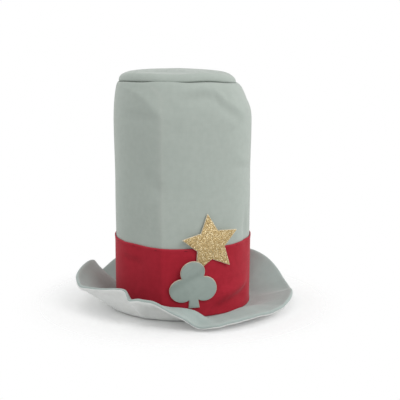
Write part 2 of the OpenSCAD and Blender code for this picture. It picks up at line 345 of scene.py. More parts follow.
class Effects:
    """The effects that the finishes share, each built once."""

    STREAKS: tuple[Triple, ...] = ((0.02, 0.7, 1.0), (0.7, 0.02, 1.0))
    HAIRS: tuple[Triple, ...] = ((1.0, 0.35, 0.8), (0.4, 1.0, 0.5), (0.7, 0.6, 1.0))
    LIGHT_DYE: Range = (-0.6, 1.1)
    DARK_DYE: Range = (-0.5, 0.9)
    FINE_DYE = 9.0
    HAIR_SHADE: Range = (1.6, -0.5)
    RUB_SCALE = 260.0
    RUB_BREAKS: Range = (0.2, 1.3)

    def __init__(self) -> None:
        """Builds the groups."""
        self.weave = self.make_weave()
        self.mottle = self.make_mottle()
        self.fibre = self.make_fibre()
        self.rubbed = self.make_rubbed()

    def make_weave(self) -> EffectGroup:
        """Makes a plain weave that follows the cloth: its height and the uneven tone of its threads.

        Returns:
            The effect.
        """
        effect = EffectGroup("thread_weave", {"Threads": VALUE}, {"Height": VALUE, "Shade": VALUE})
        desk = effect.desk
        cloth = desk.coordinates(Coordinates.CLOTH)
        scaled = {0: cloth, "Scale": effect.source["Threads"]}
        threads = desk.add("ShaderNodeVectorMath", scaled, operation="SCALE").outputs[0]
        axes = desk.add("ShaderNodeSeparateXYZ", {0: threads}).outputs
        waves = [desk.math("SINE", desk.math("MULTIPLY", axes[name], math.pi)) for name in ("X", "Y")]
        crossing = desk.math("MULTIPLY", *waves)
        desk.feed(effect.result["Height"], desk.math("MULTIPLY_ADD", crossing, 0.5, 0.5))
        streaks = [desk.noise(desk.stretch(threads, factors), 1.0, 1.0) for factors in self.STREAKS]
        desk.feed(effect.result["Shade"], desk.math("MULTIPLY", desk.math("ADD", *streaks), 0.5))
        return effect

    def make_mottle(self) -> EffectGroup:
        """Makes soft patches of lighter and darker dye.

        Returns:
            The effect.
        """
        inputs = {"Color": COLOUR, "Light": COLOUR, "Dark": COLOUR, "Scale": VALUE}
        effect = EffectGroup("dye_mottle", inputs, {"Color": COLOUR})
        desk, source = effect.desk, effect.source
        place = desk.coordinates(Coordinates.OBJECT)
        broad = desk.noise(place, source["Scale"], 3.0)
        fine = desk.noise(place, desk.math("MULTIPLY", source["Scale"], self.FINE_DYE), 2.0)
        lighter = desk.mix(desk.spread(broad, *self.LIGHT_DYE), source["Color"], source["Light"])
        darker = desk.mix(desk.spread(fine, *self.DARK_DYE), lighter, source["Dark"])
        desk.feed(effect.result["Color"], darker)
        return effect

    def make_fibre(self) -> EffectGroup:
        """Makes the short matted fibres of felt and brushed cloth.

        Returns:
            The effect.
        """
        effect = EffectGroup("matted_fibre", {"Scale": VALUE}, {"Height": VALUE, "Shade": VALUE})
        desk = effect.desk
        place = desk.coordinates(Coordinates.OBJECT)
        scale = effect.source["Scale"]
        hairs = [desk.noise(desk.stretch(place, factors), scale, 2.0) for factors in self.HAIRS]
        matted = desk.math("MAXIMUM", desk.math("MAXIMUM", hairs[0], hairs[1]), hairs[2])
        desk.feed(effect.result["Height"], matted)
        desk.feed(effect.result["Shade"], desk.math("MULTIPLY_ADD", matted, *self.HAIR_SHADE))
        return effect

    def make_rubbed(self) -> EffectGroup:
        """Makes the wear of edges and creases, stored on the mesh.

        Returns:
            The effect.
        """
        inputs = {"Color": COLOUR, "Worn": COLOUR}
        effect = EffectGroup("rubbed_edge", inputs, {"Color": COLOUR, "Mask": VALUE})
        desk, source = effect.desk, effect.source
        stored = desk.add("ShaderNodeAttribute", attribute_name=RUB).outputs["Fac"]
        broken = desk.noise(desk.coordinates(Coordinates.OBJECT), self.RUB_SCALE, 3.0)
        mask = desk.math("MULTIPLY", stored, desk.spread(broken, *self.RUB_BREAKS))
        desk.feed(effect.result["Mask"], mask)
        desk.feed(effect.result["Color"], desk.mix(mask, source["Color"], source["Worn"]))
        return effect


@dataclass(frozen=True)
class Finish:
    """A finish, which makes its own material."""

    name: str
    slot: str

    def material(self, effects: Effects) -> bpy.types.Material:
        """Makes the material.

        Args:
            effects: The shared effects.

        Returns:
            The new material.
        """
        material = bpy.data.materials.new(self.name)
        material.use_nodes = True
        shader = material.node_tree.nodes["Principled BSDF"]
        self.dress(NodeDesk(material.node_tree), shader.inputs, effects)
        return material

    def dress(self, desk: NodeDesk, shader: bpy.types.NodeInputs, effects: Effects) -> None:
        """Feeds the shader; each kind of finish has its own way."""
        raise NotImplementedError


@dataclass(frozen=True)
class ClothFinish(Finish):
    """Dyed cloth or felt: mottled dye, threads or matted fibres, worn edges and a soft sheen."""

    colour: Colour
    light: Colour
    dark: Colour
    worn: Colour
    threads: float = 1500.0
    thread_shade: Range = (-0.25, 0.65)
    weave_depth: float = 0.6
    fibre_scale: float = 900.0
    fibre_depth: float = 0.5
    fibre_tint: float = 0.3
    bump: float = 0.00022
    bump_strength: float = 0.8
    mottle_scale: float = 14.0
    roughness: float = 0.9
    roughness_spread: float = 0.08
    sheen: float = 0.35
    sheen_roughness: float = 0.3
    specular: float = 0.2

    def dress(self, desk: NodeDesk, shader: bpy.types.NodeInputs, effects: Effects) -> None:
        """Feeds the shader.

        Args:
            desk: Desk of the material.
            shader: Inputs of the material's shader.
            effects: The shared effects.
        """
        dye = {"Color": self.colour, "Light": self.light, "Dark": self.dark, "Scale": self.mottle_scale}
        mottled = effects.mottle.place(desk, dye)["Color"]
        weave = effects.weave.place(desk, {"Threads": self.threads})
        fibre = effects.fibre.place(desk, {"Scale": self.fibre_scale})
        threaded = desk.mix(desk.spread(weave["Shade"], *self.thread_shade), mottled, self.dark)
        brushed = desk.mix(desk.math("MULTIPLY", fibre["Shade"], self.fibre_tint), threaded, self.light)
        worn = effects.rubbed.place(desk, {"Color": brushed, "Worn": self.worn})
        desk.feed(shader["Base Color"], worn["Color"])
        smooth, rough = self.roughness - self.roughness_spread, self.roughness + self.roughness_spread
        desk.feed(shader["Roughness"], desk.spread(fibre["Height"], smooth, min(1.0, rough)))
        height = desk.math(
            "ADD",
            desk.math("MULTIPLY", weave["Height"], self.weave_depth),
            desk.math("MULTIPLY", fibre["Height"], self.fibre_depth),
        )
        desk.feed(shader["Normal"], desk.bump(height, self.bump, self.bump_strength))
        desk.feed(shader["Sheen Weight"], self.sheen)
        desk.feed(shader["Sheen Roughness"], self.sheen_roughness)
        desk.feed(shader["Specular IOR Level"], self.specular)


@dataclass(frozen=True)
class GlitterFinish(Finish):
    """Gold glitter: flakes of several golds, each catching the light its own way; a share of the flakes
    gets painted glints, a near-white gold base colour that stands in for light they catch.
    """

    deep: Colour
    middle: Colour
    painted_glint_colour: Colour
    flake_scale: float = 1150.0
    pale_share: float = 1.9
    painted_glint_start: float = 0.84
    roughness: Range = (0.25, 0.6)
    facet_tilt: float = 0.8
    bump: float = 0.0004
    bump_strength: float = 0.9
    metallic: float = 0.55

    def dress(self, desk: NodeDesk, shader: bpy.types.NodeInputs, effects: Effects) -> None:
        """Feeds the shader.

        Args:
            desk: Desk of the material.
            shader: Inputs of the material's shader.
            effects: The shared effects, none of which glitter needs.
        """
        place = desk.coordinates(Coordinates.OBJECT)
        cells = desk.add("ShaderNodeTexVoronoi", {"Vector": place, "Scale": self.flake_scale}).outputs
        stored = desk.add("ShaderNodeAttribute", attribute_name=FLAKE_TONE).outputs["Fac"]
        chance = desk.add("ShaderNodeSeparateColor", {0: cells["Color"]}).outputs
        lot = desk.math("FRACT", desk.math("ADD", chance["Red"], stored))
        paler = desk.math("MINIMUM", desk.math("MULTIPLY", lot, self.pale_share), 1.0)
        gold = desk.mix(paler, self.deep, self.middle)
        # Painted glints: cells past the threshold take a near-white gold in place of a reflection of the
        # light.
        painted_glint = desk.math("GREATER_THAN", lot, self.painted_glint_start)
        desk.feed(shader["Base Color"], desk.mix(painted_glint, gold, self.painted_glint_colour))
        desk.feed(shader["Roughness"], desk.spread(chance["Green"], *self.roughness))
        facet = desk.math("ADD", desk.math("MULTIPLY", chance["Blue"], self.facet_tilt), cells["Distance"])
        desk.feed(shader["Normal"], desk.bump(facet, self.bump, self.bump_strength))
        desk.feed(shader["Metallic"], self.metallic)


@dataclass(frozen=True)
class FoamFinish(Finish):
    """Foam or set glue: fine cells in a pale, slightly uneven body."""

    colour: Colour
    shade: Colour
    cell_scale: float = 1400.0
    cloud_scale: float = 60.0
    bump: float = 0.0002
    bump_strength: float = 0.7
    roughness: float = 0.85
    roughness_spread: float = 0.1

    def dress(self, desk: NodeDesk, shader: bpy.types.NodeInputs, effects: Effects) -> None:
        """Feeds the shader.

        Args:
            desk: Desk of the material.
            shader: Inputs of the material's shader.
            effects: The shared effects.
        """
        place = desk.coordinates(Coordinates.OBJECT)
        voronoi = desk.add("ShaderNodeTexVoronoi", {"Vector": place, "Scale": self.cell_scale})
        cells = voronoi.outputs["Distance"]
        cloudy = desk.noise(place, self.cloud_scale, 3.0)
        shading = desk.math("MULTIPLY", desk.math("ADD", cells, cloudy), 0.5)
        tinted = desk.mix(shading, self.colour, self.shade)
        worn = effects.rubbed.place(desk, {"Color": tinted, "Worn": self.colour})
        desk.feed(shader["Base Color"], worn["Color"])
        smooth, rough = self.roughness - self.roughness_spread, self.roughness + self.roughness_spread
        desk.feed(shader["Roughness"], desk.spread(cloudy, smooth, rough))
        desk.feed(shader["Normal"], desk.bump(cells, self.bump, self.bump_strength))


HAT_CLOTH = ClothFinish(
    "sage_cloth", "hat_cloth",
    colour=tone(174, 183, 176), light=tone(181, 189, 182),
    dark=tone(165, 174, 167), worn=tone(192, 197, 190),
)
BRIM_CLOTH = replace(
    HAT_CLOTH, name="sage_brim_cloth",
    colour=tone(166, 179, 175), light=tone(173, 185, 181),
    dark=tone(157, 170, 166), worn=tone(184, 192, 188),
)
UNDER_CLOTH = ClothFinish(
    "near_white_cloth", "under_cloth",
    colour=tone(228, 230, 228), light=tone(236, 237, 235),
    dark=tone(214, 217, 214), worn=tone(238, 239, 237),
)
BRIM_FELT = ClothFinish(
    "stiff_felt", "stiff_felt",
    colour=tone(222, 222, 216), light=tone(232, 232, 227),
    dark=tone(205, 205, 198), worn=tone(236, 236, 232),
    weave_depth=0.0, fibre_depth=1.0,
)
BAND_FELT = ClothFinish(
    "red_felt", "band_cloth",
    colour=tone(170, 35, 50), light=tone(180, 43, 60),
    dark=tone(150, 27, 41), worn=tone(188, 66, 80),
    weave_depth=0.25, fibre_depth=0.8, sheen=0.1,
)
LINING_CLOTH = ClothFinish(
    "lining_cloth", "lining",
    colour=tone(92, 97, 95), light=tone(104, 109, 106),
    dark=tone(78, 83, 81), worn=tone(120, 124, 121),
    threads=2600.0, fibre_depth=0.1, bump=0.0001, roughness=0.6, sheen=0.15,
)
RIBBON = ClothFinish(
    "ribbed_ribbon", "sweatband",
    colour=tone(112, 116, 114), light=tone(124, 128, 126),
    dark=tone(90, 94, 92), worn=tone(140, 143, 140),
    threads=1100.0, weave_depth=1.0, fibre_depth=0.15, roughness=0.7,
)
CLUB_FELT = ClothFinish(
    "club_felt", "club_felt",
    colour=tone(157, 169, 163), light=tone(166, 177, 171),
    dark=tone(144, 156, 150), worn=tone(196, 202, 196),
    weave_depth=0.2, fibre_depth=0.9, sheen=0.15,
)
BAND_THREAD = ClothFinish(
    "dark_red_thread", "band_cloth",
    colour=tone(112, 18, 30), light=tone(132, 28, 40),
    dark=tone(88, 12, 22), worn=tone(140, 40, 50),
    weave_depth=0.0, fibre_depth=0.6,
)
RIBBON_THREAD = ClothFinish(
    "pale_thread", "sweatband",
    colour=tone(176, 180, 176), light=tone(188, 192, 188),
    dark=tone(150, 154, 150), worn=tone(196, 198, 196),
    weave_depth=0.0, fibre_depth=0.6,
)
# The third, near-white gold is painted glint: the colour given to flakes in place of the light they would
# catch.
GLITTER = GlitterFinish(
    "gold_glitter", "glitter_sheet",
    deep=tone(152, 126, 78), middle=tone(204, 178, 126), painted_glint_colour=tone(250, 234, 192),
)
PATCH_FOAM = FoamFinish("pale_patch_foam", "patch_foam", tone(222, 214, 196), tone(196, 186, 164))
CROWN_FOAM = FoamFinish("crown_foam_sheet", "foam", tone(236, 236, 230), tone(214, 214, 206))
GLUE = FoamFinish(
    "set_glue", "glue", tone(236, 230, 212), tone(214, 206, 184),
    cell_scale=500.0, bump=0.0001, roughness=0.35,
)


class Facing(Enum):
    """Ways in which the outer side of a cloth can face."""

    OUT = 1
    IN = 2
    UP = 3
    DOWN = 4

    def heading(self, spot: Vector) -> Vector:
        """Gives the way out of the cloth.

        Args:
            spot: Place on the cloth.

        Returns:
            The way, of any length.
        """
        around = Vector((spot.x, spot.y, 0.0))
        up = Vector((0, 0, 1))
        return {Facing.OUT: around, Facing.IN: -around, Facing.UP: up, Facing.DOWN: -up}[self]


def face_to(bm: bmesh.types.BMesh, facing: Facing) -> None:
    """Turns all faces of an open shell to one side.

    Args:
        bm: The shell.
        facing: Side that its faces turn to.
    """
    bmesh.ops.recalc_face_normals(bm, faces=bm.faces)
    bm.normal_update()
    headings = ((face, facing.heading(face.calc_center_median())) for face in bm.faces)
    if sum(face.normal.dot(heading) * face.calc_area() for face, heading in headings) < 0:
        bmesh.ops.reverse_faces(bm, faces=bm.faces)


@dataclass(frozen=True)
class WrappedCloth:
    """A cloth that goes all the way round: a flat grid, wrapped into place and closed at its back."""

    grid: tuple[int, int]
    place: Placer
    size: tuple[float, float]
    facing: Facing
    rub: Wear | None = None

    def build(self) -> bmesh.types.BMesh:
        """Builds the cloth's outer face, with its cloth coordinates and its worn places.

        Returns:
            The mesh.
        """
        rows, columns = self.grid
        bm = bmesh.new()
        bmesh.ops.create_grid(bm, x_segments=columns, y_segments=rows - 1, size=0.5)
        worn = bm.verts.layers.float.new(RUB)
        cloth = bm.loops.layers.uv.new(CLOTH_UV)
        for vert in bm.verts:
            across, share = (min(1.0, max(0.0, place + 0.5)) for place in vert.co.xy)
            for loop in vert.link_loops:
                loop[cloth].uv = (self.size[0] * across, self.size[1] * share)
            direction = round(BACK + FULL_TURN * (across % 1.0), 3)
            vert.co = self.place(direction, share)
            vert[worn] = self.rub(direction, share) if self.rub else 0.0
        bmesh.ops.remove_doubles(bm, verts=bm.verts, dist=TOUCHING)
        face_to(bm, self.facing)
        return bm


class Workshop:
    """Dresses finished meshes and adds them to the hat."""

    def __init__(self) -> None:
        """Builds the shared effects."""
        self.effects = Effects()
        self.materials: dict[str, bpy.types.Material] = {}

    def material(self, finish: Finish) -> bpy.types.Material:
        """Gives a finish's material, made at its first use.

        Args:
            finish: The finish.

        Returns:
            Its material.
        """
        if finish.name not in self.materials:
            self.materials[finish.name] = finish.material(self.effects)
        return self.materials[finish.name]

    def piece(
        self, bm: bmesh.types.BMesh, name: str, finish: Finish, wall: float = 0.0, crease: float = 50.0
    ) -> bpy.types.Object:
        """Makes a piece of the hat from a mesh.

        Args:
            bm: Mesh, which is used up.
            name: Name of the piece.
            finish: Its finish.
            wall: Thickness that a one-sided mesh gets, behind its faces.
            crease: Angle in degrees above which an edge stays sharp.

        Returns:
            The new object.
        """
        mesh = mesh_from(bm, name)
        mesh.shade_smooth()
        mesh.set_sharp_from_angle(angle=math.radians(crease))
        mesh.materials.append(self.material(finish))
        piece = link_object(name, mesh)
        if wall:
            thickened = piece.modifiers.new("wall", "SOLIDIFY")
            thickened.thickness = wall
            thickened.offset = -1.0
        LOG.info("%s: %d faces, %s", name, len(mesh.polygons), finish.name)
        return piece

    def cloth(self, cut: WrappedCloth, name: str, finish: Finish, wall: float = 0.0) -> bpy.types.Object:
        """Makes a piece of the hat from a wrapped cloth, with a wall behind its face."""
        return self.piece(cut.build(), name, finish, wall)

    def redress(self, node: str, finish: Finish) -> None:
        """Gives a piece of the frame that stays in view a finish.

        Args:
            node: Name of the piece.
            finish: Its finish.
        """
        mesh = frame["nodes"][node].data
        mesh.materials.clear()
        mesh.materials.append(self.material(finish))
        LOG.info("%s: kept, %s", node, finish.name)


@dataclass(frozen=True)
class Layers:
    """Radii, heights and thicknesses that the sewn layers share."""

    head_radius: float
    sweatband_height: float
    base: float
    band_top: float
    seam: float
    tip_radius: float
    tip_lean: float
    tip_base: float
    tip_top: float
    lining_top: float
    gap: float = 0.00025
    ribbon: float = 0.0012
    lining: float = 0.0006
    foam: float = 0.0018
    cloth: float = 0.001
    band: float = 0.0012
    brim: float = 0.0041
    flare: float = 0.0025
    shoulder_height: float = 0.056

    @classmethod
    def from_frame(cls) -> "Layers":
        """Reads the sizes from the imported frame.

        Returns:
            The sizes.
        """
        mounts = {mount["name"]: mount for mount in frame["record"]["mounts"]}
        band_low, band_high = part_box("hat_band")
        tip_low, tip_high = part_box("crown_tip")
        return cls(
            head_radius=mounts["head_opening"]["dims"]["r_mm"] / 1000,
            sweatband_height=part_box("sweatband")[1].z,
            base=band_low.z,
            band_top=band_high.z,
            seam=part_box("crown_side")[1].z,
            tip_radius=(tip_high.x - tip_low.x) / 2,
            tip_lean=-(tip_high.x + tip_low.x) / 2,
            tip_base=tip_low.z,
            tip_top=tip_high.z,
            lining_top=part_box("tip_lining")[0].z,
        )

    @property
    def root_radius(self) -> float:
        """Radius at which the brim starts, outside the sweatband."""
        return self.head_radius + self.ribbon + self.gap

    @property
    def side_radius(self) -> float:
        """Outer radius of the crown side at its base."""
        return self.root_radius + self.lining + self.foam + self.cloth + 2 * self.gap

    @property
    def shoulder(self) -> float:
        """Height at which the crown starts to round in."""
        return self.seam - self.shoulder_height

    @property
    def foam_depth(self) -> float:
        """Depth of the foam's outer face below the crown side's."""
        return self.cloth + self.gap

    @property
    def lining_depth(self) -> float:
        """Depth of the lining's outer face below the crown side's."""
        return self.foam_depth + self.foam + self.gap

    def wall_radius(self, height: float) -> float:
        """Gives the outer radius of the plain crown wall at a height."""
        return self.side_radius + self.flare * (height - self.base) / (self.shoulder - self.base)


@dataclass(frozen=True)
class Dent:
    """A soft hollow in the crown's wall."""

    bearing: float
    height: float
    half_width: float
    half_height: float
    depth: float

    def at(self, bearing: float, height: float) -> float:
        """Gives how far the wall stands out because of this dent.

        Args:
            bearing: Place round the hat, in degrees to the right of its front.
            height: Height above the ground.

        Returns:
            The distance outwards.
        """
        across = turn_gap(bearing, self.bearing) / self.half_width
        up = (height - self.height) / self.half_height
        return -self.depth * math.exp(-across * across - up * up)


@dataclass(frozen=True)
class Ridge:
    """A crease left by packing, which runs up the wall."""

    path: Knots
    out: Knots
    left_spread: float
    right_spread: float

    def at(self, bearing: float, height: float) -> float:
        """Gives how far the wall stands out because of this ridge.

        Args:
            bearing: Place round the hat, in degrees to the right of its front.
            height: Height above the ground.

        Returns:
            The distance outwards.
        """
        across = turn_gap(bearing, along_knots(self.path, height))
        spread = self.right_spread if across > 0 else self.left_spread
        return along_knots(self.out, height) * math.exp(-abs(across) / spread)


@dataclass(frozen=True)
class Fold:
    """A soft fold that runs across the wall, proud above its line and hollow below it."""

    path: Knots
    reach: float
    size: float
    fade: float = 8.0

    def at(self, bearing: float, height: float) -> float:
        """Gives how far the wall stands out because of this fold.

        Args:
            bearing: Place round the hat, in degrees to the right of its front.
            height: Height above the ground.

        Returns:
            The distance outwards.
        """
        start, end = self.path[0][0], self.path[-1][0]
        inside = eased(start - self.fade, start + self.fade, bearing)
        inside *= 1 - eased(end - self.fade, end + self.fade, bearing)
        up = (height - along_knots(self.path, bearing)) / self.reach
        return self.size * inside * up * math.exp(0.5 - up * up / 2)


@dataclass(frozen=True)
class Relief:
    """All that makes the crown's wall uneven."""

    ridges: tuple[Ridge, ...]
    dents: tuple[Dent, ...]
    folds: tuple[Fold, ...]
    ripple: float = 0.0006
    ripple_scale: float = 17.0
    ripple_radius: float = 0.09

    def at(self, direction: float, height: float) -> float:
        """Gives how far the wall stands out of its plain shape.

        Args:
            direction: Direction round the hat, in degrees.
            height: Height above the ground.

        Returns:
            The distance outwards.
        """
        bearing = bearing_of(direction)
        out = sum(part.at(bearing, height) for part in (*self.ridges, *self.dents, *self.folds))
        spot = polar(direction, self.ripple_radius, height)
        return out + self.ripple * noise.noise(spot * self.ripple_scale)


CROWN_RELIEF = Relief(
    ridges=(
        Ridge(
            path=(
                (0.0, -16.5), (0.267, -16.5), (0.281, -26.5),
                (0.290, -34.6), (0.297, -44.6), (0.302, -65.0),
            ),
            out=(
                (0.004, 0.0026), (0.02, 0.0055), (0.09, 0.0052),
                (0.17, 0.0042), (0.285, 0.0036), (0.304, 0.0012),
            ),
            left_spread=13.0, right_spread=15.0,
        ),
        Ridge(
            path=((0.0, 163.0), (0.31, 163.0)),
            out=((0.0, 0.0), (0.094, 0.0004), (0.17, 0.003), (0.26, 0.003), (0.304, 0.0004)),
            left_spread=14.0, right_spread=14.0,
        ),
        Ridge(
            path=((0.0, 178.0), (0.31, 178.0)),
            out=((0.0, -0.0009), (0.31, -0.0009)),
            left_spread=1.1, right_spread=1.1,
        ),
    ),
    dents=(
        Dent(-40.0, 0.170, 17.0, 0.110, 0.0026),
        Dent(-21.0, 0.174, 7.0, 0.009, 0.0018),
        Dent(-30.0, 0.186, 7.0, 0.010, 0.0010),
        Dent(-5.0, 0.251, 8.0, 0.010, 0.0011),
        Dent(-36.0, 0.115, 14.0, 0.026, 0.0014),
        Dent(-42.0, 0.064, 12.0, 0.020, 0.0012),
        Dent(66.0, 0.112, 5.0, 0.022, 0.0022),
        Dent(36.0, 0.284, 9.0, 0.012, 0.0018),
        Dent(84.0, 0.292, 34.0, 0.015, 0.0036),
        Dent(20.0, 0.200, 26.0, 0.035, 0.0010),
        Dent(120.0, 0.190, 24.0, 0.045, 0.0018),
        Dent(-110.0, 0.160, 26.0, 0.050, 0.0016),
        Dent(-150.0, 0.230, 16.0, 0.030, 0.0018),
    ),
    folds=(
        Fold(((4.0, 0.293), (18.0, 0.296), (30.0, 0.293), (42.0, 0.277), (56.0, 0.266)), 0.006, 0.0019),
        Fold(((-52.0, 0.271), (-34.0, 0.269), (-18.0, 0.267)), 0.006, 0.0007),
        Fold(((44.0, 0.250), (58.0, 0.258), (76.0, 0.270)), 0.007, 0.0011),
        Fold(((50.0, 0.204), (64.0, 0.199), (80.0, 0.196)), 0.006, 0.0009),
        Fold(((28.0, 0.020), (46.0, 0.026), (66.0, 0.033)), 0.008, 0.0026),
        Fold(((-60.0, 0.081), (-48.0, 0.078), (-38.0, 0.076)), 0.005, 0.0009),
        Fold(((95.0, 0.284), (120.0, 0.272), (140.0, 0.276)), 0.008, 0.0014),
        Fold(((-140.0, 0.262), (-115.0, 0.275), (-95.0, 0.270)), 0.008, 0.0012),
    ),
)


@dataclass(frozen=True)
class TuckedSeam:
    """The seam of the tip, which is drawn in more deeply in some places and slumps to one side."""

    depths: Knots = (
        (0.0, 0.0012), (30.0, 0.0020), (62.0, 0.0008), (100.0, 0.0021), (150.0, 0.0010),
        (186.0, 0.0022), (203.0, 0.0030), (235.0, 0.0027), (249.0, 0.0004), (258.0, 0.0),
        (268.0, 0.0003), (282.0, 0.0022), (302.0, 0.0028), (326.0, 0.0026), (345.0, 0.0010),
    )
    slump: Knots = (
        (0, -0.0062), (30, -0.0052), (60, -0.0040), (90, -0.0034), (120, -0.0034), (150, -0.0036),
        (180, -0.0030), (210, 0.0016), (240, 0.0036), (270, 0.0034), (300, 0.0040), (330, -0.0010),
    )

    def depth(self, direction: float) -> float:
        """Gives how far the cloth is drawn in at the seam in a direction."""
        return max(0.0, round_wave(self.depths, direction))

    def lift(self, direction: float) -> float:
        """Gives how far the seam lies above its level place in a direction."""
        return round_wave(self.slump, direction)


@dataclass
class Crown:
    """The crown's side: outer cloth, foam and lining."""

    layers: Layers
    relief: Relief = CROWN_RELIEF
    seam: TuckedSeam = field(default_factory=TuckedSeam)
    grid: tuple[int, int] = (92, 288)
    inner_grid: tuple[int, int] = (50, 144)
    wall_share: float = 0.76
    shoulder_share: float = 0.97
    flange: float = 0.005
    flange_drop: float = 0.0012
    calm_levels: Range = (1.75, 2.0)
    drawn_levels: Range = (1.7, 2.0)
    drawn_drop: float = 0.8
    inner_calm_bend: float = 1.2
    inner_roundness: float = 1.5
    wear: float = 0.35
    wear_spread: float = 2.0
    wear_shares: Range = (0.1, 0.4)
    shoulder_extra: float = 1.08
    lining_girth: float = 0.96
    still_above_band: float = 0.003
    carried_below_seam: float = 0.017

    def level(self, share: float) -> float:
        """Turns a share of the cloth's height into a level.

        Args:
            share: Share of the cloth's height.

        Returns:
            The level: 0 at the base, 1 at the shoulder and 2 at the seam.
        """
        if share < self.wall_share:
            return share / self.wall_share
        return 1 + min(1.0, (share - self.wall_share) / (self.shoulder_share - self.wall_share))

    def point(self, direction: float, level: float, depth: float) -> Vector:
        """Gives a point of the crown's side.

        Args:
            direction: Direction round the hat, in degrees.
            level: 0 at the base, 1 at the shoulder and 2 at the seam.
            depth: Depth below the outer face.

        Returns:
            The point.
        """
        size = self.layers
        bend = math.pi / 2 * max(0.0, level - 1)
        start = size.base + min(1.0, level) * (size.shoulder - size.base)
        height = start + size.shoulder_height * math.sin(bend)
        across = size.wall_radius(start) - size.tip_radius
        way = Vector((size.shoulder_height * math.cos(bend), across * math.sin(bend))).normalized()
        out = self.relief.at(direction, height) * (1 - eased(*self.calm_levels, level)) - depth
        drop = self.drawn_drop * self.seam.depth(direction) * eased(*self.drawn_levels, level)
        lift = self.seam.lift(direction) * math.sin(bend)
        radius = size.tip_radius + across * math.cos(bend) + out * way.x
        spot = polar(direction, radius, height + out * way.y - drop + lift)
        spot.x -= size.tip_lean * (1 - math.cos(bend))
        return spot

    def cloth_point(self, direction: float, share: float) -> Vector:
        """Gives a point of the outer cloth, whose top edge turns in under the tip.

        Args:
            direction: Direction round the hat, in degrees.
            share: Share of the cloth's height.

        Returns:
            The point.
        """
        turned_in = max(0.0, share - self.shoulder_share) / (1 - self.shoulder_share)
        spot = self.point(direction, self.level(share), 0.0)
        if turned_in:
            middle = Vector((-self.layers.tip_lean, 0.0, spot.z))
            spot += (middle - spot).normalized() * self.flange * turned_in
            spot.z -= self.flange_drop * turned_in
        return spot

    def inner_point(self, direction: float, share: float, depth: float) -> Vector:
        """Gives a point of a layer inside the crown, which draws in to the middle of the tip.

        Args:
            direction: Direction round the hat, in degrees.
            share: Share of the layer's height.
            depth: Depth of the layer below the outer face.

        Returns:
            The point.
        """
        size = self.layers
        if share < self.wall_share:
            return self.point(direction, share / self.wall_share, depth)
        bend = math.pi / 2 * (share - self.wall_share) / (1 - self.wall_share)
        top_radius = size.tip_radius - size.tip_lean - size.cloth - depth
        top = size.seam - size.cloth - size.foam - depth
        height = size.shoulder + (top - size.shoulder + self.seam.lift(direction)) * math.sin(bend)
        wall = size.wall_radius(size.shoulder) - depth
        swell = self.relief.at(direction, height) * (1 - eased(self.inner_calm_bend, math.pi / 2, bend))
        drawn = max(0.0, math.cos(bend)) ** self.inner_roundness
        return polar(direction, top_radius + (wall - top_radius) * drawn + swell, height)

    def rub(self, direction: float, share: float) -> float:
        """Gives how worn the cloth is: along the packing creases.

        Args:
            direction: Direction round the hat, in degrees.
            share: Share of the cloth's height.

        Returns:
            The wear, up to 1.
        """
        bearing = bearing_of(direction)
        height = self.layers.base + share * (self.layers.seam - self.layers.base)
        creases = [along_knots(ridge.path, height) for ridge in self.relief.ridges[:2]]
        nearest = min(abs(turn_gap(bearing, crease)) for crease in creases)
        return self.wear * math.exp(-nearest / self.wear_spread) * eased(*self.wear_shares, share)

    def build(self, shop: Workshop) -> None:
        """Builds the crown's layers and bakes their placement into their meshes.

        Args:
            shop: Workshop that makes the pieces.
        """
        size = self.layers
        girth = math.tau * size.side_radius
        height = size.seam - size.base
        flat = (girth, height * self.shoulder_extra)
        inside = (girth, height)

        def foam_point(direction: float, share: float) -> Vector:
            """Gives a point of the foam's outer face."""
            return self.inner_point(direction, share, size.foam_depth)

        def lining_point(direction: float, share: float) -> Vector:
            """Gives a point of the lining's inner face."""
            return self.inner_point(direction, share, size.lining_depth + size.lining)

        cut = WrappedCloth(self.grid, self.cloth_point, flat, Facing.OUT, self.rub)
        cloth = shop.cloth(cut, "crown_side_cloth", HAT_CLOTH, size.cloth)
        cut = WrappedCloth(self.inner_grid, foam_point, inside, Facing.OUT)
        foam = shop.cloth(cut, "crown_foam_layer", CROWN_FOAM, size.foam)
        cut = WrappedCloth(self.inner_grid, lining_point, inside, Facing.IN)
        lining = shop.cloth(cut, "crown_lining_tube", LINING_CLOTH, size.lining)
        for piece, node in ((cloth, "crown_side"), (foam, "crown_foam"), (lining, "crown_lining")):
            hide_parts(node)
            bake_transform(piece)


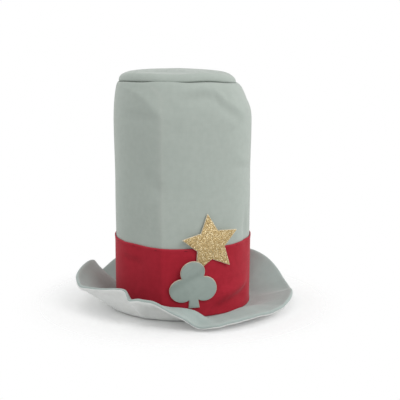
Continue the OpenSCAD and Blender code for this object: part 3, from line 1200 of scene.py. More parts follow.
@dataclass
class Tip:
    """The pillow-like top of the crown: cloth, padding and lining."""

    layers: Layers
    seam: TuckedSeam = field(default_factory=TuckedSeam)
    grid: tuple[int, int] = (60, 240)
    pad_grid: tuple[int, int] = (40, 120)
    lining_grid: tuple[int, int] = (24, 120)
    flange: float = 0.005
    flange_rise: float = 0.0006
    flange_share: float = 0.05
    roll_width: float = 0.0072
    roll_height: float = 0.0088
    roll_share: float = 0.4
    overhang: float = 0.0010
    overhang_depth: float = 0.003
    low_turn: float = -66.0
    low_height: float = 0.0016
    low_drawn: float = 0.6
    middle_lift: float = -0.0015
    ripple: float = 0.0010
    ripple_scale: float = 24.0
    ripple_level: float = 0.3
    ripple_shares: Range = (0.1, 0.35)
    pad_floor: float = 0.4
    pad_margin: float = 0.007
    pad_clear: float = 0.0002
    pad_start: float = 0.75
    pad_size: float = 0.965
    pad_drop: float = 0.0006
    sag: float = 0.0008
    sag_share: float = 0.6
    wear: float = 0.25
    wear_spread: float = 0.06
    cut_extra: float = 0.014

    @property
    def lining_radius(self) -> float:
        """Radius of the lining disc."""
        return self.layers.tip_radius - self.layers.tip_lean - self.layers.cloth - self.layers.lining_depth

    def profile(self, direction: float, share: float) -> tuple[float, float]:
        """Gives the radius and the height of the tip's cloth above its seam.

        Args:
            direction: Direction round the tip, in degrees.
            share: Share of the way from the seam to the middle.

        Returns:
            Radius from the tip's middle, and height above its level base.
        """
        size = self.layers
        drawn = self.seam.depth(direction)
        lift = self.seam.lift(direction)
        flat = size.tip_radius - self.roll_width
        low = math.radians(self.low_turn)
        if share < self.flange_share:
            inside = 1 - share / self.flange_share
            radius, height = self.profile(direction, self.flange_share)
            return radius - self.flange * inside, height + self.flange_rise * inside
        if share < self.roll_share:
            rolled = (share - self.flange_share) / (self.roll_share - self.flange_share)
            turn = low + (math.pi / 2 - low) * rolled
            bulge = self.overhang * drawn / self.overhang_depth * math.cos(turn)
            side = self.roll_height if turn > 0 else self.low_height + self.low_drawn * drawn
            return flat + self.roll_width * math.cos(turn) + bulge, side * math.sin(turn) + lift
        inner = 1 - (share - self.roll_share) / (1 - self.roll_share)
        rise = size.tip_top - size.tip_base - self.roll_height + self.middle_lift
        height = lift * inner + self.middle_lift * (1 - inner)
        return flat * inner, self.roll_height + rise * (1 - inner * inner) + height

    def place(self, direction: float, share: float) -> Vector:
        """Gives a point of the tip's cloth.

        Args:
            direction: Direction round the tip, in degrees.
            share: Share of the way from the seam to the middle.

        Returns:
            The point.
        """
        radius, height = self.profile(direction, share)
        spot = polar(direction, radius, self.layers.tip_base + height)
        rippled = noise.noise(Vector((spot.x, spot.y, self.ripple_level)) * self.ripple_scale)
        spot.z += self.ripple * eased(*self.ripple_shares, share) * rippled
        spot.x -= self.layers.tip_lean
        return spot

    def inner_place(self, direction: float, share: float) -> Vector:
        """Gives a point of the padding, which fills the tip below its cloth.

        Args:
            direction: Direction round the tip, in degrees.
            share: Share of the way from the middle of its floor, over its edge, to the middle of its top.

        Returns:
            The point.
        """
        size = self.layers
        if share < self.pad_floor:
            inside = share / self.pad_floor
            lift = self.seam.lift(direction) * inside + self.middle_lift * (1 - inside)
            radius = (size.tip_radius - self.pad_margin) * inside
            spot = polar(direction, radius, size.tip_base + self.pad_clear + lift)
            spot.x -= size.tip_lean
            return spot
        rolled = self.roll_share * self.pad_start
        over = rolled + (1 - rolled) * (share - self.pad_floor) / (1 - self.pad_floor)
        full = self.place(direction, over)
        middle = Vector((-size.tip_lean, 0.0, size.tip_base))
        return middle + (full - middle) * self.pad_size - Vector((0.0, 0.0, self.pad_drop))

    def lining_place(self, direction: float, share: float) -> Vector:
        """Gives a point of the lining disc, which sags a little in its middle.

        Args:
            direction: Direction round the tip, in degrees.
            share: Share of the way from the edge to the middle.

        Returns:
            The point.
        """
        sag = -self.sag * eased(0.0, self.sag_share, share)
        lift = self.seam.lift(direction) * (1 - share) + self.middle_lift * share
        return polar(direction, self.lining_radius * (1 - share), self.layers.lining_top + sag + lift)

    def rub(self, direction: float, share: float) -> float:
        """Gives how worn the cloth is, alike in every direction: along the top of the rolled edge."""
        return self.wear * math.exp(-(((share - self.roll_share) / self.wear_spread) ** 2))

    def build(self, shop: Workshop) -> None:
        """Builds the tip's layers, which ride on the crown's top.

        Args:
            shop: Workshop that makes the pieces.
        """
        size = self.layers
        reach = size.tip_radius + self.cut_extra
        flat = (2 * reach, 2 * reach)
        rim = (math.tau * size.tip_radius, reach)
        cut = WrappedCloth(self.grid, self.place, rim, Facing.UP, self.rub)
        cloth = shop.cloth(cut, "tip_cloth", HAT_CLOTH, size.cloth)
        cut = WrappedCloth(self.pad_grid, self.inner_place, flat, Facing.UP)
        padding = shop.cloth(cut, "tip_pad", CROWN_FOAM)
        cut = WrappedCloth(self.lining_grid, self.lining_place, flat, Facing.DOWN)
        lining = shop.cloth(cut, "tip_lining_disc", LINING_CLOTH, size.lining)
        for piece, node in ((cloth, "crown_tip"), (padding, "tip_padding"), (lining, "tip_lining")):
            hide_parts(node)
            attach(piece, Body.TOP.value)


@dataclass
class Brim:
    """The floppy brim: upper cloth, stiff felt and under cloth, joined along a rolled edge."""

    layers: Layers
    width: float = 0.060
    extra_width: float = 0.008
    bend: float = 0.012
    climb: float = 0.004
    step: float = 0.001
    straight_turn: float = 1e-4
    ripple: float = 0.0007
    ripple_scale: float = 38.0
    edge_puff: float = 0.0008
    puff_start: float = 0.012
    puff_end: float = 0.003
    seam_share: float = 0.3
    seam_draw: float = 0.0003
    draw_shares: Range = (0.9, 1.0)
    felt_margin: float = 0.003
    wear: float = 0.55
    wear_share: float = 0.86
    wear_spread: float = 0.05
    grid: tuple[int, int] = (52, 360)
    felt_grid: tuple[int, int] = (32, 240)
    edge_share: float = 0.82
    widths: Knots = (
        (0, 0.1), (12, 0.35), (28, 0.75), (45, 0.8), (90, 0.6), (130, 0.9), (170, 1), (200, 0.9),
        (230, 0.5), (260, 0.2), (290, 0.1), (330, 0),
    )
    turns: Knots = (
        (0, 13), (9, 7), (17, 9), (23, 15), (27, 28), (31, 45), (36, 56), (44, 60), (60, 57), (90, 52),
        (116, 49), (130, 31), (141, 12), (150, 36), (158, 44), (166, 45), (174, 42), (182, 39),
        (192, 37), (202, 35), (212, 40), (222, 45), (230, 50), (236, 50), (241, 37), (247, 27), (254, 23),
        (262, 11), (270, -3), (278, -18), (286, 1), (300, 3), (320, -2), (340, 11),
    )
    climbs: Knots = (
        (0, 0), (180, 0), (232, 0), (240, 0), (246, 46), (254, 59), (262, 69), (270, 83), (278, 84),
        (286, 20), (294, 20), (304, 32), (314, 44), (324, 36), (334, 14), (346, 3),
    )

    @property
    def rise_radius(self) -> float:
        """Radius at which the brim starts to bend up, just outside the band."""
        return self.layers.side_radius + self.layers.gap + self.layers.band + self.step

    @property
    def root(self) -> float:
        """Width of the flat root under the crown."""
        return self.rise_radius - self.layers.root_radius

    def reach(self, direction: float) -> float:
        """Gives the brim's width in a direction."""
        return self.width + self.extra_width * round_wave(self.widths, direction)

    def bent_run(self, start: float, end: float, width: float) -> Vector:
        """Gives the run of cloth that bends from one tilt to another.

        Args:
            start: Tilt at which it starts, in radians.
            end: Tilt at which it ends.
            width: Width of cloth that takes up the bend.

        Returns:
            The run, out and up.
        """
        turned = end - start
        if abs(turned) < self.straight_turn:
            return width * Vector((math.cos(start), math.sin(start)))
        return width / turned * Vector((math.sin(end) - math.sin(start), math.cos(start) - math.cos(end)))

    def point(self, direction: float, out: float, lift: float) -> Vector:
        """Gives a point in the brim, which bends up beside the band and then bends again to its edge.

        Args:
            direction: Direction round the hat, in degrees.
            out: Distance along the brim from where it starts to bend.
            lift: Distance above the brim's lower face.

        Returns:
            The point.
        """
        turn = math.radians(round_wave(self.turns, direction))
        steep = turn + math.radians(max(0.0, round_wave(self.climbs, direction)))
        first = min(1.0, max(0.0, out / self.bend))
        climbed = min(self.climb, max(0.0, out - self.bend))
        second = min(1.0, max(0.0, (out - self.bend - self.climb) / self.bend))
        straight = max(0.0, out - 2 * self.bend - self.climb)
        low = steep * first
        tilt = low + (turn - steep) * second
        run = self.bent_run(0.0, low, self.bend * first) + self.bent_run(steep, tilt, self.bend * second)
        run += climbed * Vector((math.cos(steep), math.sin(steep)))
        run += straight * Vector((math.cos(turn), math.sin(turn)))
        flat = polar(direction, self.rise_radius + min(out, 0.0) + run.x, run.y)
        lift += self.ripple * eased(0.0, self.width, out) * noise.noise(flat * self.ripple_scale)
        return flat + polar(direction, -math.sin(tilt), math.cos(tilt)) * lift

    def half(self, direction: float, out: float) -> float:
        """Gives half of the brim's thickness, which swells towards its edge.

        Args:
            direction: Direction round the hat, in degrees.
            out: Distance along the brim from where it starts to bend.

        Returns:
            Half of the thickness.
        """
        edge = self.reach(direction)
        puffed = eased(edge - self.puff_start, edge - self.puff_end, out)
        return self.layers.brim / 2 + self.edge_puff * puffed

    def upper_point(self, direction: float, share: float) -> Vector:
        """Gives a point of the upper cloth, which rolls over the edge to the seam."""
        return self.rolled(direction, share, 1.0, -self.seam_share)

    def under_point(self, direction: float, share: float) -> Vector:
        """Gives a point of the under cloth, which meets the upper one at the seam."""
        return self.rolled(direction, share, -1.0, self.seam_share)

    def rolled(self, direction: float, share: float, side: float, past: float) -> Vector:
        """Gives a point of a cloth that lies on the brim and rolls round its edge.

        Args:
            direction: Direction round the hat, in degrees.
            share: Share of the cloth's width, from the root.
            side: 1 for the upper side, -1 for the under side.
            past: Sine of the edge's angle at which the cloth ends, towards its own side.

        Returns:
            The point.
        """
        middle = self.layers.brim / 2
        edge = self.reach(direction)
        thick = self.half(direction, edge)
        if share < self.edge_share:
            out = -self.root + (self.root + edge - thick) * share / self.edge_share
            return self.point(direction, out, middle + side * self.half(direction, out))
        last = math.asin(past)
        turn = math.pi / 2 + (last - math.pi / 2) * (share - self.edge_share) / (1 - self.edge_share)
        drawn = self.seam_draw * eased(*self.draw_shares, share)
        out = edge - thick + (thick - drawn) * math.cos(turn)
        return self.point(direction, out, middle + side * (thick - drawn) * math.sin(turn))

    def felt_point(self, direction: float, share: float) -> Vector:
        """Gives a point of the felt's upper face."""
        out = -self.root + (self.root + self.reach(direction) - self.felt_margin) * share
        return self.point(direction, out, self.layers.brim - self.layers.cloth - self.layers.gap)

    def rub(self, direction: float, share: float) -> float:
        """Gives how worn the cloth is, alike in every direction: along the rolled edge."""
        return self.wear * math.exp(-(((share - self.wear_share) / self.wear_spread) ** 2))

    def build(self, shop: Workshop) -> None:
        """Builds the brim's layers.

        Args:
            shop: Workshop that makes the pieces.
        """
        size = self.layers
        across = 2 * (self.rise_radius + self.width + self.extra_width / 2)
        girth = math.pi * (across / 2 + size.root_radius)
        strip = (girth, self.root + self.width + self.extra_width / 2)
        cut = WrappedCloth(self.grid, self.upper_point, strip, Facing.UP, self.rub)
        upper = shop.cloth(cut, "brim_upper_cloth", BRIM_CLOTH, size.cloth)
        cut = WrappedCloth(self.grid, self.under_point, strip, Facing.DOWN, self.rub)
        under = shop.cloth(cut, "brim_under_cloth", UNDER_CLOTH, size.cloth)
        cut = WrappedCloth(self.felt_grid, self.felt_point, strip, Facing.UP)
        felt = shop.cloth(cut, "brim_felt_core", BRIM_FELT, size.brim - 2 * size.cloth - 2 * size.gap)
        stack = (
            (upper, "brim_upper", "brim_felt_core"),
            (felt, "brim_felt", "brim_under_cloth"),
            (under, "brim_under", "floor"),
        )
        for piece, node, below in stack:
            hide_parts(node)
            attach(piece, Body.BASE.value)


@dataclass(frozen=True)
class ThreadBar:
    """A short bar of thread that lies along the way round the hat."""

    length: float
    thickness: float
    sides: tuple[int, int]

    def row(self, spots: list[tuple[float, Vector]]) -> bmesh.types.BMesh:
        """Builds a row of bars.

        Args:
            spots: Direction round the hat, in degrees, and middle of each bar.

        Returns:
            The mesh.
        """
        bm = bmesh.new()
        around, along = self.sides
        half = (self.length / 2, self.thickness / 2, self.thickness / 2)
        for direction, spot in spots:
            turned = Matrix.Rotation(math.radians(direction + QUARTER_TURN), 4, "Z")
            shape = Matrix.Translation(spot) @ turned @ Matrix.Diagonal((*half, 1.0))
            bmesh.ops.create_uvsphere(bm, u_segments=around, v_segments=along, radius=1.0, matrix=shape)
        return bm


@dataclass
class Band:
    """The red band round the crown's base, and the tacks that hold its top edge."""

    crown: Crown
    grid: tuple[int, int] = (44, 288)
    hem: float = 0.0004
    top_hem: Range = (0.93, 0.97)
    low_hem: Range = (0.03, 0.07)
    lap: float = 0.0009
    lap_bearing: float = 172.0
    lap_start: float = 26.0
    lap_end: float = 2.0
    lap_length: float = 0.015
    wave: float = 0.0005
    wave_scale: float = 5.0
    wave_level: float = 0.2
    wave_shares: Range = (0.6, 1.0)
    wear: float = 0.5
    worn_top: Range = (0.97, 1.0)
    worn_base: Range = (0.0, 0.02)
    tacks: int = 15
    first_tack: float = -21.5
    tack_drop: float = 0.0028
    tack: ThreadBar = ThreadBar(length=0.0046, thickness=0.0007, sides=(12, 8))

    def face_point(self, direction: float, height: float) -> Vector:
        """Gives a point of the band's outer face.

        Args:
            direction: Direction round the hat, in degrees.
            height: Height above the ground.

        Returns:
            The point.
        """
        size = self.crown.layers
        share = (height - size.base) / (size.band_top - size.base)
        hems = eased(*self.top_hem, share) + 1 - eased(*self.low_hem, share)
        bearing = bearing_of(direction)
        lapped = eased(self.lap_bearing - self.lap_start, self.lap_bearing - self.lap_end, bearing)
        lapped *= bearing < self.lap_bearing
        out = size.gap + size.band + self.hem * hems + self.lap * lapped
        spot = self.crown.point(direction, (height - size.base) / (size.shoulder - size.base), -out)
        waved = noise.noise(polar(direction, 1.0, self.wave_level) * self.wave_scale)
        spot.z += self.wave * eased(*self.wave_shares, share) * waved
        return spot

    def place(self, direction: float, share: float) -> Vector:
        """Gives a point of the band."""
        size = self.crown.layers
        return self.face_point(direction, size.base + (size.band_top - size.base) * share)

    def rub(self, direction: float, share: float) -> float:
        """Gives how worn the felt is, alike in every direction: along its cut edges."""
        return self.wear * (eased(*self.worn_top, share) + 1 - eased(*self.worn_base, share))

    def tack_row(self) -> bmesh.types.BMesh:
        """Builds the tacks, which lie along the band's top edge.

        Returns:
            The mesh.
        """
        start = FRONT + self.first_tack
        directions = [start + index * FULL_TURN / self.tacks for index in range(self.tacks)]
        height = self.crown.layers.band_top - self.tack_drop
        return self.tack.row([(direction, self.face_point(direction, height)) for direction in directions])

    def build(self, shop: Workshop) -> None:
        """Builds the band and its tacks.

        Args:
            shop: Workshop that makes the pieces.
        """
        size = self.crown.layers
        girth = math.tau * (size.side_radius + size.band)
        height = size.band_top - size.base
        cut = WrappedCloth(self.grid, self.place, (girth, height), Facing.OUT, self.rub)
        band = shop.cloth(cut, "red_band", BAND_FELT, size.band)
        tacks = shop.piece(self.tack_row(), "band_tacks", BAND_THREAD)
        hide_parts("hat_band")
        for piece in (band, tacks):
            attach(piece, Body.BASE.value)


@dataclass
class Sweatband:
    """The ribbon inside the head opening, with its row of stitches."""

    layers: Layers
    grid: tuple[int, int] = (14, 240)
    lap_length: float = 0.02
    stitches: int = 96
    stitch_share: float = 0.64
    stitch_height: float = 0.004
    stitch_thickness: float = 0.0006
    stitch_sides: tuple[int, int] = (8, 6)

    def place(self, direction: float, share: float) -> Vector:
        """Gives a point of the ribbon's inner face."""
        return polar(direction, self.layers.head_radius, self.layers.sweatband_height * share)

    def stitch_row(self) -> bmesh.types.BMesh:
        """Builds the running stitch along the ribbon's lower edge.

        Returns:
            The mesh.
        """
        radius = self.layers.head_radius
        pitch = math.tau * radius / self.stitches
        directions = [index * FULL_TURN / self.stitches for index in range(self.stitches)]
        stitch = ThreadBar(pitch * self.stitch_share, self.stitch_thickness, self.stitch_sides)
        return stitch.row([(turn, polar(turn, radius, self.stitch_height)) for turn in directions])

    def build(self, shop: Workshop) -> None:
        """Builds the ribbon and its stitches.

        Args:
            shop: Workshop that makes the pieces.
        """
        size = self.layers
        girth = math.tau * size.head_radius
        cut = WrappedCloth(self.grid, self.place, (girth, size.sweatband_height), Facing.IN)
        ribbon = shop.cloth(cut, "sweatband_ribbon", RIBBON, size.ribbon)
        stitches = shop.piece(self.stitch_row(), "sweatband_stitches", RIBBON_THREAD)
        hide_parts("sweatband")
        for piece in (ribbon, stitches):
            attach(piece, Body.BASE.value)


def on_crown(direction: float, radius: float, height: float) -> Matrix:
    """Gives the placement of a flat patch on the crown: its own X lies across, Y up and Z outwards.

    Args:
        direction: Direction round the hat, in degrees.
        radius: Distance of the patch's back from the axis.
        height: Height of the patch's origin.

    Returns:
        The placement.
    """
    turned = Matrix.Rotation(math.radians(direction), 4, "Z")
    quarter = math.radians(QUARTER_TURN)
    upright = Matrix.Rotation(quarter, 4, "Z") @ Matrix.Rotation(quarter, 4, "X")
    return turned @ Matrix.Translation((radius, 0, height)) @ upright


def thicken(bm: bmesh.types.BMesh, low: float, thickness: float, rounding: float) -> None:
    """Turns a flat shape into a plate with rounded rims.

    Args:
        bm: The flat shape, in its own XY plane.
        low: Height of the plate's back.
        thickness: The plate's thickness.
        rounding: Radius of its rims.
    """
    bmesh.ops.recalc_face_normals(bm, faces=bm.faces)
    bmesh.ops.solidify(bm, geom=bm.faces[:], thickness=thickness)
    bmesh.ops.recalc_face_normals(bm, faces=bm.faces)
    lowest = min(vert.co.z for vert in bm.verts)
    bmesh.ops.translate(bm, verts=bm.verts, vec=(0, 0, low - lowest))
    bm.normal_update()
    flat = [edge for edge in bm.edges if abs(edge.verts[0].co.z - edge.verts[1].co.z) < thickness / 2]
    rims = [edge for edge in flat if edge.calc_face_angle(0.0) > math.radians(RIM_ANGLE)]
    bmesh.ops.bevel(
        bm, geom=rims, offset=rounding, offset_type="OFFSET", segments=2, profile=0.5,
        affect="EDGES", clamp_overlap=True, material=-1,
    )


def cut_grid(bm: bmesh.types.BMesh, reach: float, pitch: float) -> None:
    """Cuts a flat shape into a grid, so that it can bend. The cuts miss the shape's own middle line.

    Args:
        bm: The flat shape, in its own XY plane.
        reach: Half the width of the grid.
        pitch: Distance between its cuts.
    """
    steps = round(reach / pitch)
    for axis in (Vector((1, 0, 0)), Vector((0, 1, 0))):
        for step in range(-steps, steps + 1):
            geom = [*bm.verts, *bm.edges, *bm.faces]
            cut = axis * (step * pitch + CUT_SHIFT)
            bmesh.ops.bisect_plane(bm, geom=geom, dist=TOUCHING, plane_co=cut, plane_no=axis)


@dataclass
class StarPatch:
    """The glitter star: pale foam with a glitter sheet and loose-looking flakes."""

    layers: Layers
    points: int = 5
    radius: float = 0.0415
    notch: float = 0.0205
    span: tuple[float, float] = (1.9, 1.81)
    turn: float = 6.0
    direction: float = 292.5
    height: float = 0.102
    stand_off: float = 0.0025
    foam: float = 0.0014
    foam_rounding: float = 0.0002
    sheet: float = 0.0006
    sheet_rounding: float = 0.00012
    pale_rim: float = 0.0006
    tip_inset: float = 2.2
    notch_inset: float = 1.1
    tip_rounding: float = 0.0016
    flakes: int = 1500
    flake_size: float = 0.00042
    flake_sizes: Range = (0.7, 1.15)
    flake_sides: int = 6
    flake_lean: float = 26.0
    flake_lift: float = 0.00016
    flake_margin: float = 0.0016
    seed: int = 7

    @property
    def half_arm(self) -> float:
        """Angle between a tip and the notch beside it, in degrees."""
        return HALF_TURN / self.points

    def outline(self, inset: float) -> bmesh.types.BMesh:
        """Builds the flat star.

        Args:
            inset: Width that is left free round its edge.

        Returns:
            The mesh of one face.
        """
        bm = bmesh.new()
        reach = self.radius - self.tip_inset * inset
        shape = bmesh.ops.create_circle(bm, cap_ends=True, segments=2 * self.points, radius=reach)
        for vert in shape["verts"][1::2]:
            vert.co *= (self.notch - self.notch_inset * inset) / reach
        bmesh.ops.bevel(
            bm, geom=shape["verts"][::2], offset=self.tip_rounding, offset_type="OFFSET",
            segments=3, profile=0.5, affect="VERTICES", material=-1,
        )
        turned = Matrix.Rotation(math.radians(self.turn), 3, "Z")
        bmesh.ops.rotate(bm, verts=bm.verts, cent=(0, 0, 0), matrix=turned)
        return bm

    def inside(self, across: float, up: float, margin: float) -> bool:
        """Tells whether a place lies within the star, away from its edge.

        Args:
            across: Place across the star.
            up: Place above its middle.
            margin: Distance that is left free along its edge.

        Returns:
            True for a place within the star.
        """
        arm = math.degrees(math.atan2(up, across)) - QUARTER_TURN - self.turn
        off = math.radians(abs((arm + self.half_arm) % (2 * self.half_arm) - self.half_arm))
        spread = math.radians(self.half_arm)
        edge = self.radius * self.notch * math.sin(spread)
        edge /= self.radius * math.sin(off) + self.notch * math.sin(spread - off)
        return math.hypot(across, up) < edge - margin

    def scatter(self) -> bmesh.types.BMesh:
        """Builds the flakes, small leaning hexagons of several golds.

        Returns:
            The mesh.
        """
        chance = random.Random(self.seed)
        bm = bmesh.new()
        toned = bm.verts.layers.float.new(FLAKE_TONE)
        level = self.foam + self.layers.gap + self.sheet + self.flake_lift
        most = self.flake_lean
        placed = 0
        while placed < self.flakes:
            across, up = (chance.uniform(-self.radius, self.radius) for _ in range(2))
            if not self.inside(across, up, self.flake_margin):
                continue
            lean = Matrix.Rotation(math.radians(chance.uniform(-most, most)), 4, "X")
            lean @= Matrix.Rotation(math.radians(chance.uniform(-most, most)), 4, "Y")
            spot = Matrix.Translation((across, up, level)) @ lean
            size = self.flake_size * chance.uniform(*self.flake_sizes)
            flake = bmesh.ops.create_circle(
                bm, cap_ends=True, segments=self.flake_sides, radius=size, matrix=spot
            )
            shade = chance.random()
            for vert in flake["verts"]:
                vert[toned] = shade
            placed += 1
        return bm

    def build(self, shop: Workshop) -> None:
        """Builds the star's pieces and keeps the glue behind it.

        Args:
            shop: Workshop that makes the pieces.
        """
        size = self.layers
        placed = on_crown(self.direction, size.wall_radius(self.height) + self.stand_off, self.height)
        back = self.outline(0.0)
        thicken(back, 0.0, self.foam, self.foam_rounding)
        face = self.outline(self.pale_rim)
        thicken(face, self.foam + size.gap / 2, self.sheet, self.sheet_rounding)
        flakes = self.scatter()
        for bm in (back, face, flakes):
            bmesh.ops.transform(bm, matrix=placed, verts=bm.verts)
        foam = shop.piece(back, "star_foam", PATCH_FOAM, crease=PATCH_CREASE)
        sheet = shop.piece(face, "star_sheet", GLITTER, crease=PATCH_CREASE)
        glints = shop.piece(flakes, "star_flakes", GLITTER, crease=FLAKE_CREASE)
        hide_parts("star_back")
        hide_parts("star_face")
        for piece in (foam, sheet, glints):
            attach(piece, Body.BASE.value)
        shop.redress("star_glue", GLUE)


@dataclass
class ClubPatch:
    """The club: sage felt on a pale stiff backing, bent where it climbs onto the star."""

    layers: Layers
    lobe: float = 0.0165
    lobe_reach: float = 0.015
    lower_lobe: float = 0.025
    upper_lobe: float = 0.049
    lobe_steps: int = 40
    cap_steps: int = 26
    foot: float = 0.0148
    neck: float = 0.009
    neck_inset: float = 0.6
    grid_reach: float = 0.068
    grid_pitch: float = 0.004
    turn: float = 3.0
    lean: float = 6.2
    direction: float = 279.0
    foot_height: float = 0.0175
    stand_off: float = 0.0003
    backing: float = 0.0016
    backing_rounding: float = 0.0002
    felt: float = 0.001
    felt_rounding: float = 0.00025
    pale_rim: float = 0.0005
    crease: Triple = (0.0, 0.0402, 28.0)
    settle: float = 0.75
    settle_ends: Range = (-0.002, 0.007)
    wrap: float = 0.35
    wrap_ends: Range = (0.03, 0.05)
    curl: float = 0.12
    curl_start: float = 0.004

    def outline(self, inset: float) -> bmesh.types.BMesh:
        """Builds the flat club from three spun arcs and a stem, and fills it.

        Args:
            inset: Width that is left free round its edge.

        Returns:
            The mesh, cut into a grid.
        """
        bm = bmesh.new()
        lobe = self.lobe - inset
        right = Vector((self.lobe_reach, self.lower_lobe))
        top = Vector((0.0, self.upper_lobe))
        foot = Vector((self.foot / 2 - inset, inset))
        neck = Vector((self.neck / 2 - inset * self.neck_inset, self.lower_lobe))
        hits = geometry.intersect_line_sphere_2d(foot, neck, right, lobe)
        joint = min((hit for hit in hits if hit), key=lambda hit: hit.y)
        meeting = max(geometry.intersect_sphere_sphere_2d(right, lobe, top, lobe), key=lambda hit: hit.x)
        start, end = self.heading(joint - right), self.heading(meeting - right)
        end += math.tau if end < start else 0.0
        arc = self.arc(bm, right, lobe, start, end, self.lobe_steps)
        cap = self.arc(bm, top, lobe, self.heading(meeting - top), math.pi / 2, self.cap_steps)
        stem = [bm.verts.new((foot.x, foot.y, 0)), bm.verts.new((joint.x, joint.y, 0))]
        ground = bm.verts.new((0, foot.y, 0))
        bm.edges.new(stem)
        bm.edges.new((ground, stem[0]))
        half = [*arc, *cap, *stem, ground]
        bmesh.ops.mirror(bm, geom=[*half, *bm.edges], axis="X", merge_dist=TOUCHING)
        bmesh.ops.remove_doubles(bm, verts=bm.verts, dist=2 * TOUCHING)
        bmesh.ops.contextual_create(bm, geom=bm.edges[:])
        cut_grid(bm, self.grid_reach, self.grid_pitch)
        return bm

    @staticmethod
    def heading(arm: Vector) -> float:
        """Gives the angle of a flat arm."""
        return math.atan2(arm.y, arm.x)

    @staticmethod
    def arc(
        bm: bmesh.types.BMesh, centre: Vector, radius: float, start: float, end: float, steps: int
    ) -> list[bmesh.types.BMVert]:
        """Spins a point into an arc.

        Args:
            bm: Mesh to add it to.
            centre: Centre of the arc.
            radius: Its radius.
            start: Angle at which it starts.
            end: Angle at which it ends.
            steps: Number of its edges.

        Returns:
            The arc's vertices.
        """
        before = set(bm.verts)
        first = bm.verts.new((centre.x + radius * math.cos(start), centre.y + radius * math.sin(start), 0))
        bmesh.ops.spin(bm, geom=[first], cent=(*centre, 0), axis=(0, 0, 1), angle=end - start, steps=steps)
        return [vert for vert in bm.verts if vert not in before]

    def bend(self, across: float, up: float) -> float:
        """Gives how far the club lies nearer to the band than its plain leaning plane.

        Args:
            across: Place across the club.
            up: Place above its foot.

        Returns:
            The distance inwards.
        """
        start_across, start_up, angle = self.crease
        slope = math.radians(angle)
        above = (up - start_up) * math.cos(slope) - (across - start_across) * math.sin(slope)
        stood_off = max(0.0, up) * math.tan(math.radians(self.lean))
        settled = self.settle * stood_off * (1 - eased(*self.settle_ends, above))
        wrapped = self.wrap * across * across / (2 * self.layers.side_radius)
        curled = self.curl * max(0.0, above - self.curl_start)
        return settled + wrapped * (1 - eased(*self.wrap_ends, up)) - curled

    def build(self, shop: Workshop) -> None:
        """Builds the club's pieces and keeps the glue behind it.

        Args:
            shop: Workshop that makes the pieces.
        """
        size = self.layers
        radius = size.wall_radius(self.foot_height) + size.gap + size.band + self.stand_off
        turned = Matrix.Rotation(math.radians(self.turn), 4, "Z")
        tipped = turned @ Matrix.Rotation(math.radians(self.lean), 4, "X")
        placed = on_crown(self.direction, radius, self.foot_height) @ tipped
        back = self.outline(0.0)
        thicken(back, 0.0, self.backing, self.backing_rounding)
        face = self.outline(self.pale_rim)
        thicken(face, self.backing + size.gap / 2, self.felt, self.felt_rounding)
        for bm in (back, face):
            for vert in bm.verts:
                vert.co.z -= self.bend(vert.co.x, vert.co.y)
            bmesh.ops.transform(bm, matrix=placed, verts=bm.verts)
        backing = shop.piece(back, "club_backing", PATCH_FOAM, crease=PATCH_CREASE)
        felt = shop.piece(face, "club_felt_face", CLUB_FELT, crease=PATCH_CREASE)
        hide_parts("club_back")
        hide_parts("club_face")
        for piece in (backing, felt):
            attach(piece, Body.BASE.value)
        shop.redress("club_glue", GLUE)


@dataclass(frozen=True)
class SoftLight:
    """A studio lamp: a square of light that looks at a spot."""

    name: str
    place: Triple
    target: Triple
    size: float
    power: float

    def build(self) -> None:
        """Adds the lamp to the scene."""
        data = bpy.data.lights.new(self.name, "AREA")
        data.size = self.size
        data.energy = self.power
        lamp = link_object(self.name, data)
        lamp.location = self.place
        way = Vector(self.target) - Vector(self.place)
        lamp.rotation_euler = way.to_track_quat("-Z", "Y").to_euler()


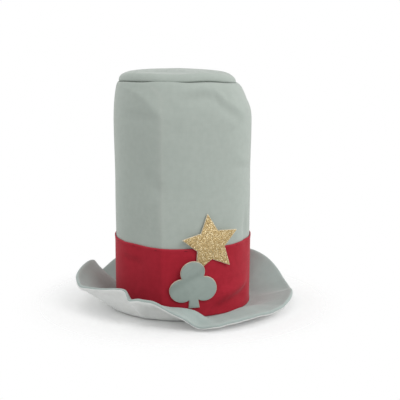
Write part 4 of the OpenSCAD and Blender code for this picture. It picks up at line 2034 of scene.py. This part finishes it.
@dataclass
class Studio:
    """White studio: floor, soft light and the camera at the photo's angle."""

    camera_place: Triple = (0.0, -1.75, 0.508)
    camera_turn: Triple = (78.2, 0.0, -0.77)
    lens: float = 118.5
    sensor: float = 36.0
    ambient: float = 0.6
    floor_radius: float = 2.5
    floor_drop: float = 0.0003
    floor_segments: int = 96
    floor_colour: Colour = (0.94, 0.94, 0.94, 1.0)
    floor_roughness: float = 0.9
    floor_clear: Range = (0.11, 0.24)
    lamps: tuple[SoftLight, ...] = (
        SoftLight("key_light", (1.5, -1.7, 1.7), (0.0, 0.0, 0.15), 1.4, 28.0),
        SoftLight("fill_light", (-1.2, -1.9, 1.5), (0.0, 0.0, 0.15), 1.6, 5.4),
        SoftLight("top_light", (-0.35, 0.0, 1.6), (-0.08, 0.0, 0.05), 0.9, 3.0),
        SoftLight("right_rim", (1.5, 1.0, 0.3), (0.0, 0.0, 0.15), 1.0, 12.5),
        SoftLight("left_rim", (-1.5, 1.0, 0.3), (0.0, 0.0, 0.15), 1.0, 9.0),
    )

    def floor(self) -> None:
        """Builds the pale floor, which fades into the white backdrop away from the hat."""
        bm = bmesh.new()
        bmesh.ops.create_circle(bm, cap_ends=True, segments=self.floor_segments, radius=self.floor_radius)
        bmesh.ops.translate(bm, verts=bm.verts, vec=(0, 0, -self.floor_drop))
        mesh = mesh_from(bm, "floor")
        material = bpy.data.materials.new("pale_floor")
        material.use_nodes = True
        desk = NodeDesk(material.node_tree)
        shader = material.node_tree.nodes["Principled BSDF"]
        shader.inputs["Base Color"].default_value = self.floor_colour
        shader.inputs["Roughness"].default_value = self.floor_roughness
        place = desk.coordinates(Coordinates.OBJECT)
        away = desk.add("ShaderNodeVectorMath", {0: place}, operation="LENGTH").outputs["Value"]
        near, far = self.floor_clear
        faded = desk.add(
            "ShaderNodeMapRange", {"Value": away, "From Min": near, "From Max": far},
            interpolation_type="SMOOTHSTEP",
        ).outputs[0]
        desk.feed(shader.inputs["Alpha"], desk.math("SUBTRACT", 1.0, faded))
        mesh.materials.append(material)
        link_object("floor", mesh)

    def world(self) -> None:
        """Makes the backdrop white to the camera, with a softer light from all round."""
        world = bpy.data.worlds.new("white_studio")
        bpy.context.scene.world = world
        world.use_nodes = True
        desk = NodeDesk(world.node_tree)
        paths = desk.add("ShaderNodeLightPath").outputs
        seen = desk.math("MAXIMUM", paths["Is Camera Ray"], paths["Is Glossy Ray"])
        seen = desk.math("MAXIMUM", seen, paths["Is Transmission Ray"])
        background = world.node_tree.nodes["Background"]
        background.inputs["Color"].default_value = (1.0, 1.0, 1.0, 1.0)
        desk.feed(background.inputs["Strength"], desk.spread(seen, self.ambient, 1.0))

    def camera(self) -> None:
        """Places the camera as the photo was taken."""
        data = bpy.data.cameras.new("photo_camera")
        data.lens = self.lens
        data.sensor_width = self.sensor
        camera = link_object("photo_camera", data)
        camera.location = self.camera_place
        camera.rotation_euler = [math.radians(angle) for angle in self.camera_turn]
        bpy.context.scene.camera = camera

    def build(self) -> None:
        """Builds the studio."""
        self.floor()
        self.world()
        self.camera()
        for lamp in self.lamps:
            lamp.build()
        bpy.context.scene.view_settings.view_transform = "Standard"
        LOG.info("studio: %d lamps", len(self.lamps))


def main() -> None:
    """Builds the hat from its head opening to its patches, and then the studio."""
    logging.basicConfig(level=logging.INFO, format="%(name)s: %(message)s")
    shop = Workshop()
    layers = Layers.from_frame()
    crown = Crown(layers)
    parts = (
        Sweatband(layers), Brim(layers), crown, Tip(layers), Band(crown),
        StarPatch(layers), ClubPatch(layers),
    )
    for part in parts:
        part.build(shop)
    Studio().build()


if __name__ == "__main__":
    main()
